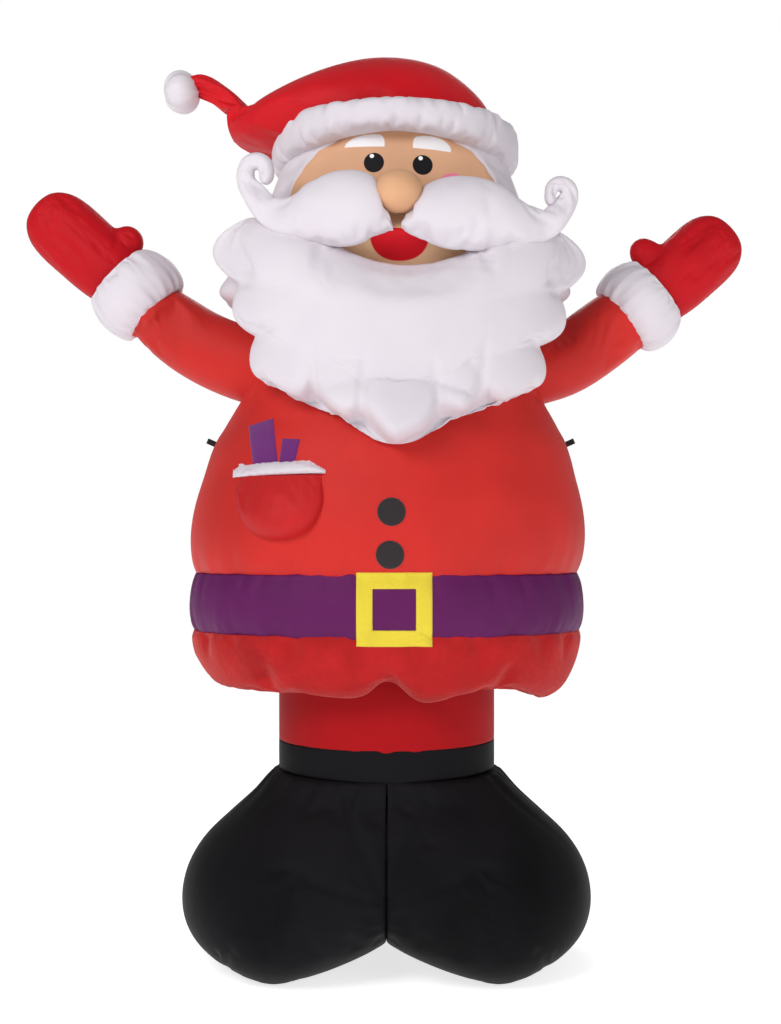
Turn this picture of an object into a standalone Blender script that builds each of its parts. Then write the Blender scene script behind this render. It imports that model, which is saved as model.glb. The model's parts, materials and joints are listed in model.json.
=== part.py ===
"""A tall inflatable santa for the garden, as it stands when blown up.

Metres, +Z up. The figure looks along -Y, and its own left hand is at +X.
The origin is on the ground, midway between the mitten tips.
Every sewn fabric piece is one closed solid. Pieces that are sewn together keep GAP between them.
"""

import math

import bmesh
import bpy
from mathutils import Vector

GAP = 0.0003

# Heights of the stacked pieces
BOOT_HEIGHT = 0.765
BOOT_BAND_HEIGHT = 0.117
LEG_SHOWING = 0.207
SKIRT_HEIGHT = 0.242
BELT_HEIGHT = 0.232
COAT_HEIGHT = 1.037
HEAD_HEIGHT = 0.670

# Half widths and depths of the body, at its widest
BOOT_OUTER = 0.834
BOOT_TOE = 0.670
BOOT_HEEL = 0.480
LEG_HALF_WIDTH = 0.443
LEG_HALF_DEPTH = 0.425
BODY_HALF_WIDTH = 0.807
BODY_FRONT = 0.640
BODY_BACK = 0.520
HAIR_HALF_WIDTH = 0.735
HAIR_BACK = 0.510
FACE_FRONT = 0.425

# Flat pieces sewn on the coat and belt
PATCH_THICKNESS = 0.006
BUTTON_RADIUS = 0.053
BUTTON_HEIGHTS = (0.237, 0.077)
BUCKLE_WIDTH = 0.283
BUCKLE_HEIGHT = 0.276
BUCKLE_BAR = 0.061

# Chest pocket with two gift sticks
POCKET_WIDTH = 0.356
POCKET_DROP = 0.255
POCKET_BULGE = 0.085
POCKET_X = -0.487 * BODY_HALF_WIDTH
POCKET_TOP_HEIGHT = 0.385
TRIM_HEIGHT = 0.046
TRIM_BULGE = 0.022

# Arms, cuffs and mittens
ARM_RADIUS = 0.160
SLEEVE_END_RADIUS = 0.141
CUFF_RADIUS = 0.191
CUFF_RIM_RADIUS = 0.150
MITTEN_HALF_WIDTH = 0.146
MITTEN_HALF_DEPTH = 0.112
MITTEN_SHIFT = 0.013

# Beard, moustache and nose
BEARD_THICKNESS = 0.165
MOUSTACHE_HALF_DEPTH = 0.088
BEARD_HEIGHT = 0.890
NOSE_RADIUS = 0.092
NOSE_REACH = 0.550
NOSE_HEIGHT = 0.406
NOSE_HALF_HEIGHT = 0.080
NOSE_X = 0.013

# Hat
HAT_BAND_THICKNESS = 0.062
HAT_BAND_HALF_WIDTH = 0.445
HAT_BAND_HALF_DEPTH = 0.432
HAT_BAND_HALF_HEIGHT = 0.068
HAT_BAND_RISE = 0.030
HAT_BAND_TILT = 1.07
POMPOM_RADIUS = 0.098

# Webbing loops for the guy lines
STRAP_WIDTH = 0.023
STRAP_THICKNESS = 0.0025
LOOP_HEIGHT = 0.520
LOOP_REACH = 0.040
LOOP_OPEN = 0.014
LOOP_TILT = math.radians(24)

# How square the level rings of body and head are: 2 is an ellipse
BODY_SQUARENESS = 2.15
HEAD_SQUARENESS = 2.1
BOOT_ROUNDNESS = 0.93
BAND_SWELL = 1.01

# Number of sides of the round pieces
BODY_SIDES = 28
LEG_SIDES = 24
LIMB_SIDES = 12
TAIL_SIDES = 10
HEAD_SIDES = 28
HAT_SIDES = 20

# Seam heights, from the ground up
BAND_LOW = BOOT_HEIGHT
BAND_TOP = BAND_LOW + BOOT_BAND_HEIGHT
HEM = BAND_TOP + LEG_SHOWING
BELT_LOW = HEM + SKIRT_HEIGHT
BELT_TOP = BELT_LOW + BELT_HEIGHT
NECK = BELT_TOP + COAT_HEIGHT
HAT_SEAM = NECK + HEAD_HEIGHT

# How far the middle of the figure stands off x = 0, by height
LOWER_X = 0.013
HEAD_X = 0.047

# (share of height, outer, inner, toe, heel), as shares of the boot's own sizes; inner is a share of outer
BOOT_PROFILE = (
    (0.00, 0.70, 0.47, 0.70, 0.72),
    (0.04, 0.80, 0.25, 0.79, 0.82),
    (0.10, 0.89, 0.06, 0.885, 0.91),
    (0.18, 0.96, -0.10, 0.96, 0.97),
    (0.28, 0.995, -0.24, 1.0, 1.0),
    (0.40, 0.995, -0.38, 0.995, 0.985),
    (0.52, 0.96, -0.50, 0.95, 0.965),
    (0.64, 0.885, -0.61, 0.87, 0.94),
    (0.76, 0.765, -0.73, 0.785, 0.92),
    (0.88, 0.64, -0.86, 0.70, 0.90),
    (1.00, 0.545, -1.0, 0.64, 0.885),
)

# (share of height, width, front, back), as shares of the body's widest
COAT_PROFILE = (
    (0.000, 0.967, 0.961, 0.962),
    (0.055, 0.989, 0.988, 0.990),
    (0.132, 1.000, 1.000, 1.000),
    (0.209, 0.994, 0.995, 0.998),
    (0.286, 0.975, 0.977, 0.981),
    (0.373, 0.943, 0.938, 0.942),
    (0.499, 0.895, 0.875, 0.885),
    (0.585, 0.833, 0.813, 0.827),
    (0.662, 0.778, 0.758, 0.769),
    (0.759, 0.712, 0.688, 0.712),
    (0.855, 0.632, 0.609, 0.635),
    (0.932, 0.533, 0.531, 0.558),
    (1.000, 0.409, 0.438, 0.481),
)
BELT_PROFILE = (
    (0.00, 0.976, 0.970, 0.972),
    (0.15, 0.993, 0.990, 0.990),
    (0.40, 1.000, 1.000, 1.000),
    (0.75, 0.990, 0.990, 0.990),
    (1.00, 0.967, 0.961, 0.962),
)
# The skirt's section runs from the belt seam down the outside, round the hem and up inside it
SKIRT_PROFILE = (
    (1.00, 0.978, 0.972, 0.974),
    (0.85, 0.986, 0.982, 0.984),
    (0.55, 0.966, 0.962, 0.966),
    (0.30, 0.932, 0.925, 0.955),
    (0.14, 0.895, 0.885, 0.940),
    (0.03, 0.840, 0.825, 0.915),
    (0.00, 0.790, 0.770, 0.890),
)
SKIRT_CEILING = 0.42
SKIRT_TO_LEG = 0.012
# (angle from the front in degrees, towards the figure's left; lift; half width in degrees)
HEM_FOLDS = (
    (1, 0.054, 8.5),
    (17, -0.016, 9),
    (-45, 0.014, 16),
    (45, 0.026, 14),
    (76, -0.030, 14),
    (-80, 0.010, 16),
)

# (share of height, width, front, back); front is a share of the face's reach
HEAD_PROFILE = (
    (0.00, 0.60, 0.66, 0.70),
    (0.06, 0.88, 0.78, 0.90),
    (0.15, 1.00, 0.86, 0.98),
    (0.27, 0.935, 0.93, 1.00),
    (0.42, 0.831, 0.975, 0.985),
    (0.57, 0.755, 1.00, 0.965),
    (0.72, 0.701, 1.00, 0.94),
    (0.87, 0.647, 0.965, 0.90),
    (1.00, 0.599, 0.918, 0.843),
)
LOCKS = 8
LOCK_DEPTH = 0.13
FACE_HALF_WIDTH = 0.425
FACE_HALF_HEIGHT = 0.312
FACE_HEIGHT = 0.365
FACE_SQUARENESS = 2.3
FACE_PANEL_BACK = 0.120

# Outline of the beard: the corners between its scallops, from the beard's middle, and how far each
# scallop bows out from the line to the next corner. The four sides run down the figure's right,
# along the bottom, up the left and back over the top. They are drawn for a beard OUTLINE_HEIGHT high.
OUTLINE_HEIGHT = 0.890
OUTLINE_LOW = -0.555
BEARD_SIDES = (
    (((-0.564, 0.341), 0.135), ((-0.606, 0.087), 0.060), ((-0.542, -0.115), 0.075)),
    (
        ((-0.433, -0.322), 0.012),
        ((-0.208, -0.436), 0.004),
        ((-0.090, -0.520), 0.028),
        ((0.098, -0.520), 0.004),
        ((0.214, -0.445), 0.012),
    ),
    (((0.447, -0.342), 0.085), ((0.559, -0.152), 0.070), ((0.639, 0.051), 0.130)),
    (((0.615, 0.303), 0.030), ((0.247, 0.190), -0.046), ((-0.173, 0.200), 0.030)),
)
# Sewn channels that part the front into puffs: (x at the bottom, x at the top, share of the height)
BEARD_CHANNELS = (
    (-0.302, -0.309, 0.34),
    (-0.135, -0.105, 0.33),
    (0.160, 0.142, 0.30),
    (0.306, 0.340, 0.36),
)
CHANNEL_DEPTH = 0.45
CHANNEL_WIDTH = 0.040
BEARD_ACROSS = 20
BEARD_DOWN = 11

# Moustache sections from the nose to the curled tip: (outwards, up, half width), in metres from the
# middle of the lip. The two sides are sewn alike, and each curl lies its own way.
MOUSTACHE_RIGHT = (
    (0.008, -0.060, 0.010),
    (0.032, -0.027, 0.048),
    (0.072, 0.014, 0.106),
    (0.136, 0.019, 0.137),
    (0.212, 0.012, 0.142),
    (0.288, 0.000, 0.124),
    (0.356, -0.014, 0.097),
    (0.421, -0.009, 0.076),
    (0.485, 0.022, 0.058),
    (0.537, 0.085, 0.046),
    (0.565, 0.128, 0.038),
    (0.569, 0.166, 0.034),
    (0.557, 0.195, 0.033),
    (0.529, 0.206, 0.033),
    (0.500, 0.195, 0.032),
    (0.488, 0.166, 0.030),
    (0.491, 0.138, 0.027),
    (0.496, 0.118, 0.012),
)
MOUSTACHE_LEFT = (
    (0.022, -0.048, 0.010),
    (0.050, -0.034, 0.046),
    (0.102, -0.008, 0.099),
    (0.184, -0.003, 0.132),
    (0.268, -0.003, 0.140),
    (0.355, -0.012, 0.130),
    (0.431, -0.031, 0.104),
    (0.507, -0.038, 0.079),
    (0.583, -0.026, 0.057),
    (0.628, 0.020, 0.048),
    (0.657, 0.062, 0.040),
    (0.666, 0.094, 0.034),
    (0.655, 0.118, 0.032),
    (0.624, 0.127, 0.029),
    (0.600, 0.113, 0.026),
    (0.592, 0.086, 0.023),
    (0.591, 0.061, 0.020),
    (0.593, 0.044, 0.010),
)
MOUSTACHE_HEIGHT = 0.328
MOUSTACHE_Y = -0.545
MOUSTACHE_WRAP = 0.30

# Hat sections as (lower or right end, upper end, half depth) in the XZ plane, from the hat's seam centre.
# The cone leans to the figure's right, folds over and runs out in a narrow tail.
HAT_SECTIONS = (
    ((-0.440, 0.000), (0.440, 0.000), 0.375),
    ((-0.520, 0.012), (0.420, 0.105), 0.385),
    ((-0.590, 0.020), (0.348, 0.236), 0.380),
    ((-0.640, 0.040), (0.195, 0.352), 0.355),
    ((-0.668, 0.070), (0.000, 0.392), 0.300),
    ((-0.682, 0.100), (-0.195, 0.364), 0.225),
    ((-0.690, 0.130), (-0.365, 0.292), 0.150),
    ((-0.699, 0.165), (-0.490, 0.215), 0.100),
    ((-0.708, 0.194), (-0.566, 0.205), 0.078),
    ((-0.756, 0.220), (-0.672, 0.296), 0.062),
    ((-0.822, 0.245), (-0.785, 0.345), 0.055),
    ((-0.875, 0.258), (-0.850, 0.340), 0.050),
)
POMPOM_AT = (-0.881, 0.275)

# Arm centre lines in the XZ plane, from the middle of the neck, and the cuff and mitten that follow
ARM_RIGHT = ((-0.450, -0.215), (-0.640, -0.170), (-0.810, -0.095), (-0.984, 0.030))
ARM_LEFT = ((0.430, -0.225), (0.590, -0.190), (0.730, -0.140), (0.933, -0.002))
CUFF_REACH_RIGHT = (-0.156, 0.159)
CUFF_REACH_LEFT = (0.1515, 0.124)
MITTEN_REACH_RIGHT = (-0.334, 0.303)
MITTEN_REACH_LEFT = (0.297, 0.271)
# Thumb from the wrist: (start, tip) and its radii
THUMB_RIGHT = ((-0.072, 0.054), (0.095, 0.189), 0.078, 0.070)
THUMB_LEFT = ((0.037, 0.079), (-0.109, 0.213), 0.075, 0.058)

# Gift sticks: left and right top corners, then the left and right x at the foot, from the middle of
# the pocket's top edge. They stand on the strip along the pocket's mouth.
GIFTS = {
    "gift_stick_tall": ((-0.132, 0.192), (-0.030, 0.217), -0.104, -0.004),
    "gift_stick_short": ((0.010, 0.134), (0.080, 0.129), -0.001, 0.060),
}


def clear_scene():
    for thing in list(bpy.data.objects):
        bpy.data.objects.remove(thing)


def fabric(name, colour, roughness=0.6):
    made = bpy.data.materials.new(name)
    made.use_nodes = True
    shader = made.node_tree.nodes["Principled BSDF"]
    shader.inputs["Base Color"].default_value = (*colour, 1.0)
    shader.inputs["Roughness"].default_value = roughness
    shader.inputs["Metallic"].default_value = 0.0
    return made


def smooth_value(keys, t):
    """The value tuple at t on a smooth curve through keys, rows of (t, value, ...) with t rising."""
    rows = list(keys)
    if t <= rows[0][0]:
        return rows[0][1:]
    if t >= rows[-1][0]:
        return rows[-1][1:]
    i = next(n for n in range(len(rows) - 1) if t <= rows[n + 1][0])

    def slope(n, column):
        low, high = max(n - 1, 0), min(n + 1, len(rows) - 1)
        return (rows[high][column] - rows[low][column]) / (rows[high][0] - rows[low][0])

    span = rows[i + 1][0] - rows[i][0]
    s = (t - rows[i][0]) / span
    values = []
    for column in range(1, len(rows[0])):
        start, end = rows[i][column], rows[i + 1][column]
        values.append(
            start * (2 * s**3 - 3 * s**2 + 1)
            + slope(i, column) * span * (s**3 - 2 * s**2 + s)
            + end * (3 * s**2 - 2 * s**3)
            + slope(i + 1, column) * span * (s**3 - s**2)
        )
    return tuple(values)


def lean(z):
    """Where the figure's middle stands in x at height z: it leans a little to its left above the belt."""
    share = min(max((z - BELT_TOP) / COAT_HEIGHT, 0.0), 1.0)
    return LOWER_X + (HEAD_X - LOWER_X) * share


def signed_power(value, power):
    return math.copysign(abs(value) ** power, value)


def level_ring(z, half_width, front, back, sides, squareness=2.0):
    """A level ring of points round the figure's middle, starting at the front."""
    power = 2.0 / squareness
    points = []
    for n in range(sides):
        turn = 2 * math.pi * n / sides - math.pi / 2
        depth = front if math.sin(turn) < 0 else back
        x = lean(z) + half_width * signed_power(math.cos(turn), power)
        points.append(Vector((x, depth * signed_power(math.sin(turn), power), z)))
    return points


def section(centre, across, half_across, half_depth, sides):
    """An oval ring in the plane of the direction across and the Y axis."""
    direction = across.normalized()
    points = []
    for n in range(sides):
        turn = 2 * math.pi * n / sides
        aside = direction * (half_across * math.cos(turn))
        points.append(centre + aside + Vector((0, half_depth * math.sin(turn), 0)))
    return points


def make_piece(name, points, faces, material):
    mesh = bpy.data.meshes.new(name)
    mesh.from_pydata([tuple(p) for p in points], [], faces)
    shell = bmesh.new()
    shell.from_mesh(mesh)
    bmesh.ops.recalc_face_normals(shell, faces=shell.faces)
    bmesh.ops.triangulate(shell, faces=shell.faces)
    if shell.calc_volume(signed=True) < 0:
        bmesh.ops.reverse_faces(shell, faces=shell.faces)
    shell.to_mesh(mesh)
    shell.free()
    mesh.materials.append(material)
    mesh.shade_smooth()
    mesh.set_sharp_from_angle(angle=math.radians(50))
    piece = bpy.data.objects.new(name, mesh)
    bpy.context.scene.collection.objects.link(piece)
    return piece


def loft(name, rings, material):
    """A closed solid through rings of equal counts, with flat ends."""
    sides = len(rings[0])
    points = [p for ring in rings for p in ring]
    faces = []
    for r in range(len(rings) - 1):
        low, high = r * sides, (r + 1) * sides
        for n in range(sides):
            m = (n + 1) % sides
            faces.append((low + n, low + m, high + m, high + n))
    faces.append(tuple(range(sides)))
    faces.append(tuple(range((len(rings) - 1) * sides, len(rings) * sides)))
    return make_piece(name, points, faces, material)


def grown(piece):
    """A hidden copy of a piece, larger all round by the sewing gap, for cutting its neighbours."""
    copy = piece.copy()
    copy.name = piece.name + "_room"
    swell = copy.modifiers.new("Swell", "DISPLACE")
    swell.direction = "NORMAL"
    swell.mid_level = 0.0
    swell.strength = 1.6 * GAP
    hide(copy)
    bpy.context.scene.collection.objects.link(copy)
    return copy


def hide(piece):
    piece.hide_render = True
    piece.display_type = "WIRE"


def boolean(piece, other, operation):
    change = piece.modifiers.new(operation.title() + other.name, "BOOLEAN")
    change.operation = operation
    change.object = other
    change.solver = "EXACT"


def make_room(piece, *neighbours):
    """Cuts a piece back to where it meets its neighbours."""
    for neighbour in neighbours:
        boolean(piece, neighbour, "DIFFERENCE")


def body_ring(profile, low, high, share, sides=BODY_SIDES):
    width, front, back = smooth_value(profile, share)
    z = low + (high - low) * share
    return level_ring(
        z, BODY_HALF_WIDTH * width, BODY_FRONT * front, BODY_BACK * back, sides, BODY_SQUARENESS
    )


def coat_front(x, z):
    """The y of the coat's front at x and height z."""
    share = (z - BELT_TOP) / COAT_HEIGHT
    width, front, _ = smooth_value(COAT_PROFILE, share)
    across = min(abs(x - lean(z)) / (BODY_HALF_WIDTH * width), 1.0)
    return -BODY_FRONT * front * (1 - across**BODY_SQUARENESS) ** (1 / BODY_SQUARENESS)


def make_boot(name, side, material):
    """One boot, cut flat down the middle where it is sewn to the other."""
    rings = []
    for share, outer, inner, toe, heel in BOOT_PROFILE:
        far = BOOT_OUTER * outer
        near = far * inner
        middle, half = (far + near) / 2, (far - near) / 2
        front, back = BOOT_TOE * toe, BOOT_HEEL * heel
        ring = []
        for n in range(LEG_SIDES):
            turn = 2 * math.pi * n / LEG_SIDES - math.pi / 2
            reach = back if math.sin(turn) > 0 else front
            x = max(middle + half * signed_power(math.cos(turn), BOOT_ROUNDNESS), GAP / 2)
            y = reach * signed_power(math.sin(turn), BOOT_ROUNDNESS)
            ring.append(Vector((LOWER_X + side * x, y, BOOT_HEIGHT * share)))
        rings.append(ring)
    return loft(name, rings, material)


def make_leg_piece(name, low, high, material, swell):
    rings = []
    for share, out in ((0.0, 1.0), (0.5, swell), (1.0, 1.0)):
        z = low + (high - low) * share
        rings.append(
            level_ring(z, LEG_HALF_WIDTH * out, LEG_HALF_DEPTH * out, LEG_HALF_DEPTH * out, LEG_SIDES)
        )
    return loft(name, rings, material)


def hem_lift(point):
    """How far the hem is lifted by its folds at this point of the skirt."""
    angle = math.degrees(math.atan2(point.x - LOWER_X, -point.y))
    return sum(lift * math.exp(-(((angle - at) / wide) ** 2)) for at, lift, wide in HEM_FOLDS)


def make_skirt(material):
    rings = []
    for share, width, front, back in SKIRT_PROFILE:
        ring = level_ring(
            HEM + SKIRT_HEIGHT * share,
            BODY_HALF_WIDTH * width,
            BODY_FRONT * front,
            BODY_BACK * back,
            BODY_SIDES,
            BODY_SQUARENESS,
        )
        for point in ring:
            point.z += hem_lift(point) * max(0.0, 1 - share / 0.6)
        rings.append(ring)
    rings[0] = [p - Vector((0, 0, GAP)) for p in rings[0]]
    for share in (0.12, SKIRT_CEILING):
        inner = level_ring(
            HEM + SKIRT_HEIGHT * share,
            LEG_HALF_WIDTH + SKIRT_TO_LEG,
            LEG_HALF_DEPTH + SKIRT_TO_LEG,
            LEG_HALF_DEPTH + SKIRT_TO_LEG,
            BODY_SIDES,
        )
        for point in inner:
            point.z += hem_lift(point) * max(0.0, 1 - share / SKIRT_CEILING)
        rings.append(inner)
    return loft("coat_skirt", rings, material)


def make_belt(material):
    rings = [
        body_ring(BELT_PROFILE, BELT_LOW, BELT_TOP - GAP, share) for share in (0, 0.15, 0.4, 0.75, 1)
    ]
    return loft("belt", rings, material)


def make_coat(material):
    steps = 8
    rings = [body_ring(COAT_PROFILE, BELT_TOP, NECK - GAP, n / steps) for n in range(steps + 1)]
    return loft("coat", rings, material)


def head_ring(share, z):
    """The hair ends in round locks below, behind the ears."""
    width, front, back = smooth_value(HEAD_PROFILE, share)
    ring = level_ring(
        z, HAIR_HALF_WIDTH * width, FACE_FRONT * front, HAIR_BACK * back, HEAD_SIDES, HEAD_SQUARENESS
    )
    for n, point in enumerate(ring):
        turn = 2 * math.pi * n / HEAD_SIDES
        behind = max(0.0, -math.cos(turn) * 1.5 + 0.75)
        low = max(0.0, 1 - share / 0.5)
        parting = 1 - abs(math.sin(LOCKS * turn / 2))
        pull = LOCK_DEPTH * parting * min(behind, 1.0) * low
        middle = Vector((lean(z), 0, z))
        ring[n] = middle + (point - middle) * (1 - pull)
    return ring


def make_head(skin, hair):
    """The face panel and the hair round and behind it, parted along the panel's seam."""
    rings = [head_ring(row[0], NECK + (HEAD_HEIGHT - GAP) * row[0]) for row in HEAD_PROFILE]
    face = loft("face", rings, skin)
    back_hair = loft("hair", rings, hair)
    head_room = grown(face)
    panel = face_panel_cutter("face_panel", 0.0)
    room = face_panel_cutter("face_panel_room", GAP)
    boolean(face, panel, "INTERSECT")
    boolean(back_hair, room, "DIFFERENCE")
    return back_hair, head_room


def face_panel_cutter(name, grow):
    """An oval plug along Y that parts the face from the hair."""
    rings = []
    for y in (-2 * FACE_FRONT, -FACE_PANEL_BACK + grow):
        ring = []
        for n in range(HEAD_SIDES):
            turn = 2 * math.pi * n / HEAD_SIDES
            power = 2.0 / FACE_SQUARENESS
            x = (FACE_HALF_WIDTH + grow) * signed_power(math.cos(turn), power)
            z = (FACE_HALF_HEIGHT + grow) * signed_power(math.sin(turn), power)
            ring.append(Vector((HEAD_X + x, y, NECK + FACE_HEIGHT + z)))
        rings.append(ring)
    cutter = loft(name, rings, bpy.data.materials["skin"])
    hide(cutter)
    return cutter


def bowed(start, end, bow, share):
    """A point on a round scallop from start to end that bows out to the left of that line."""
    line = end - start
    out = Vector((-line.y, line.x)).normalized()
    return start + line * share + out * (bow * 4 * share * (1 - share))


def side_point(side, share):
    """A point on one side of the beard's outline, share of the way along its scallops."""
    corners = BEARD_SIDES[side]
    following = BEARD_SIDES[(side + 1) % 4][0]
    ends = [Vector(corner) for corner, _ in corners] + [Vector(following[0])]
    place = min(share, 0.999999) * len(corners)
    n = int(place)
    return bowed(ends[n + 1], ends[n], corners[n][1], 1 - (place - n))


def beard_outline(u, v):
    """A point inside the beard's outline: u runs from its right to its left, v from top to bottom."""
    right, bottom = side_point(0, v), side_point(1, u)
    left, top = side_point(2, 1 - v), side_point(3, 1 - u)
    corner = [Vector(BEARD_SIDES[n][0][0]) for n in range(4)]
    blend = right * (1 - u) + left * u + top * (1 - v) + bottom * v
    flat = (corner[0] * (1 - u) + corner[3] * u) * (1 - v) + (corner[1] * (1 - u) + corner[2] * u) * v
    return blend - flat


def pillow(share, softness):
    """1 in the middle and 0 at both ends, rounded like an inflated cushion."""
    return max(0.0, 1 - abs(2 * share - 1) ** softness) ** 0.55


def channel_depth(x, z):
    """How far the sewn channels pull the beard's front in, 0 for not at all and 1 for fully."""
    deepest = 0.0
    for bottom_x, top_x, rise in BEARD_CHANNELS:
        up = (z - OUTLINE_LOW) / (rise * OUTLINE_HEIGHT) - 0.30
        if up > 1:
            continue
        up = max(up, 0.0)
        line = bottom_x + (top_x - bottom_x) * up
        groove = math.exp(-(((x - line) / CHANNEL_WIDTH) ** 2)) * (1 - up**2)
        deepest = max(deepest, groove)
    return deepest


def make_beard(material):
    columns, rows = BEARD_ACROSS, BEARD_DOWN
    scale = BEARD_HEIGHT / OUTLINE_HEIGHT
    front, back = [], []
    for j in range(rows + 1):
        v = j / rows
        for i in range(columns + 1):
            u = i / columns
            flat = beard_outline(u, v)
            x, z = HEAD_X + flat.x * scale, NECK + flat.y * scale
            rim = -0.16 - 0.34 * math.sqrt(max(0.0, 1 - (flat.x / 0.80) ** 2))
            if z < NECK - 0.05:
                rim = min(rim, coat_front(x, z) - 0.035)
            puff = BEARD_THICKNESS * pillow(u, 3.2) * pillow(v, 3.6)
            puff *= 1 - CHANNEL_DEPTH * channel_depth(flat.x, flat.y)
            front.append(Vector((x, rim - puff, z)))
            behind = rim + 0.26
            if z < NECK - 0.05:
                behind = max(rim, coat_front(x, z)) + 0.03
            swell = min(1.0, 2 * pillow(u, 2.5) * pillow(v, 2.5))
            back.append(Vector((x, rim + (behind - rim) * swell, z)))
    return close_sheet("beard", front, back, columns, rows, material)


def close_sheet(name, front, back, columns, rows, material):
    """A solid between two grids of points that share their border."""
    wide = columns + 1
    on_border = lambda i, j: i in (0, columns) or j in (0, rows)
    points = list(front)
    behind = {}
    for j in range(rows + 1):
        for i in range(wide):
            n = j * wide + i
            if on_border(i, j):
                behind[n] = n
            else:
                behind[n] = len(points)
                points.append(back[n])
    faces = []
    for j in range(rows):
        for i in range(columns):
            n = j * wide + i
            square = (n, n + 1, n + wide + 1, n + wide)
            faces.append(square)
            faces.append(tuple(behind[m] for m in reversed(square)))
    return make_piece(name, points, faces, material)


def make_moustache(name, side, table, material):
    """One half of the moustache, lofted along its curled centre line."""
    z0 = NECK + MOUSTACHE_HEIGHT
    wide = [(HEAD_X + side * out, z0 + up, half) for out, up, half in table]
    largest = max(half for _, _, half in wide)
    rings = []
    for n, (x, z, half) in enumerate(wide):
        before, after = wide[max(n - 1, 0)], wide[min(n + 1, len(wide) - 1)]
        along = Vector((after[0] - before[0], 0, after[1] - before[1]))
        if n < 4:
            along = Vector((side, 0, 0))
        across = Vector((-along.z, 0, along.x)) * side
        bend = MOUSTACHE_WRAP * max(0.0, abs(x - HEAD_X) - 0.10) ** 2
        depth = MOUSTACHE_HALF_DEPTH * (half / largest) ** 0.62
        rings.append(section(Vector((x, MOUSTACHE_Y + bend, z)), across, half, depth, TAIL_SIDES))
    return loft(name, rings, material)


def make_ball(name, centre, radii, sides, rows, material):
    rings = []
    for n in range(1, rows):
        tilt = math.pi * n / rows
        z = centre.z - radii[2] * math.cos(tilt)
        ring = []
        for m in range(sides):
            turn = 2 * math.pi * m / sides
            x = centre.x + radii[0] * math.sin(tilt) * math.cos(turn)
            y = centre.y + radii[1] * math.sin(tilt) * math.sin(turn)
            ring.append(Vector((x, y, z)))
        rings.append(ring)
    return loft(name, rings, material)


def make_hat(material):
    rings = []
    for low, high, half_depth in HAT_SECTIONS:
        start = Vector((HEAD_X + low[0], 0, HAT_SEAM + low[1]))
        end = Vector((HEAD_X + high[0], 0, HAT_SEAM + high[1]))
        across = end - start
        half = across.length / 2
        rings.append(section((start + end) / 2, across, half, half_depth, HAT_SIDES))
    return loft("hat", rings, material)


def make_hat_band(material):
    """The puffed white band round the hat's seam: deeper at the sides than over the brow."""
    sides, around = HAT_SIDES, 8
    points, faces = [], []
    for n in range(sides):
        turn = 2 * math.pi * n / sides - math.pi / 2
        out = Vector((math.cos(turn), math.sin(turn), 0))
        x, y = HEAD_X + HAT_BAND_HALF_WIDTH * out.x, HAT_BAND_HALF_DEPTH * out.y
        rise = HAT_BAND_RISE * (1 - HAT_BAND_TILT * out.y - 0.4 * abs(out.x))
        middle = Vector((x, y, HAT_SEAM + rise))
        half_height = HAT_BAND_HALF_HEIGHT * (1 + 0.45 * out.x**2)
        for m in range(around):
            roll = 2 * math.pi * m / around
            reach = out * (HAT_BAND_THICKNESS * signed_power(math.cos(roll), 0.8))
            lift = Vector((0, 0, half_height * signed_power(math.sin(roll), 0.8)))
            points.append(middle + reach + lift)
    for n in range(sides):
        after = (n + 1) % sides
        for m in range(around):
            up = (m + 1) % around
            faces.append(
                (n * around + m, after * around + m, after * around + up, n * around + up)
            )
    return make_piece("hat_band", points, faces, material)


def path_point(path, share):
    """A point on the smooth line through the path's points, and its direction."""
    rows = [(n / (len(path) - 1), *path[n]) for n in range(len(path))]
    step = 0.02
    here = Vector(smooth_value(rows, share))
    before = Vector(smooth_value(rows, max(share - step, 0.0)))
    after = Vector(smooth_value(rows, min(share + step, 1.0)))
    return here, (after - before).normalized()


def arm_frame(path):
    """Where the sleeve ends, as a point, and the arm's direction there, in the XZ plane."""
    end, direction = path_point(path, 1.0)
    return Vector((end.x + HEAD_X, 0, end.y + NECK)), Vector((direction.x, 0, direction.y))


def make_sleeve(name, path, reach, material):
    rings = []
    for n in range(6):
        share = n / 5
        here, direction = path_point(path, share)
        if n == 5:
            direction = Vector(reach).normalized()
        centre = Vector((here.x + HEAD_X, 0, here.y + NECK))
        across = Vector((-direction.y, 0, direction.x))
        radius = ARM_RADIUS + (SLEEVE_END_RADIUS - ARM_RADIUS) * share
        rings.append(section(centre, across, radius, radius, LIMB_SIDES))
    return loft(name, rings, material)


def make_cuff(name, start, reach, material):
    """A fat white barrel between sleeve and mitten."""
    direction = Vector((reach[0], 0, reach[1]))
    along = direction.normalized()
    across = Vector((-along.z, 0, along.x))
    rings = []
    profile = ((0.0, SLEEVE_END_RADIUS, 0.0), (0.02, 0.5, 0.5), (0.16, 0.88, 0.88), (0.42, 1, 1))
    profile += ((0.62, 1, 1), (0.86, 0.90, 0.90), (0.98, 0.5, 0.5), (1.0, CUFF_RIM_RADIUS, 0.0))
    for share, wide, swell in profile:
        rim = SLEEVE_END_RADIUS if share < 0.5 else CUFF_RIM_RADIUS
        radius = rim + (CUFF_RADIUS - rim) * wide if swell else rim
        centre = start + direction * share + along * GAP * (1 - 2 * share)
        rings.append(section(centre, across, radius, radius * 0.92, LIMB_SIDES + 4))
    return loft(name, rings, material)


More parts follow.
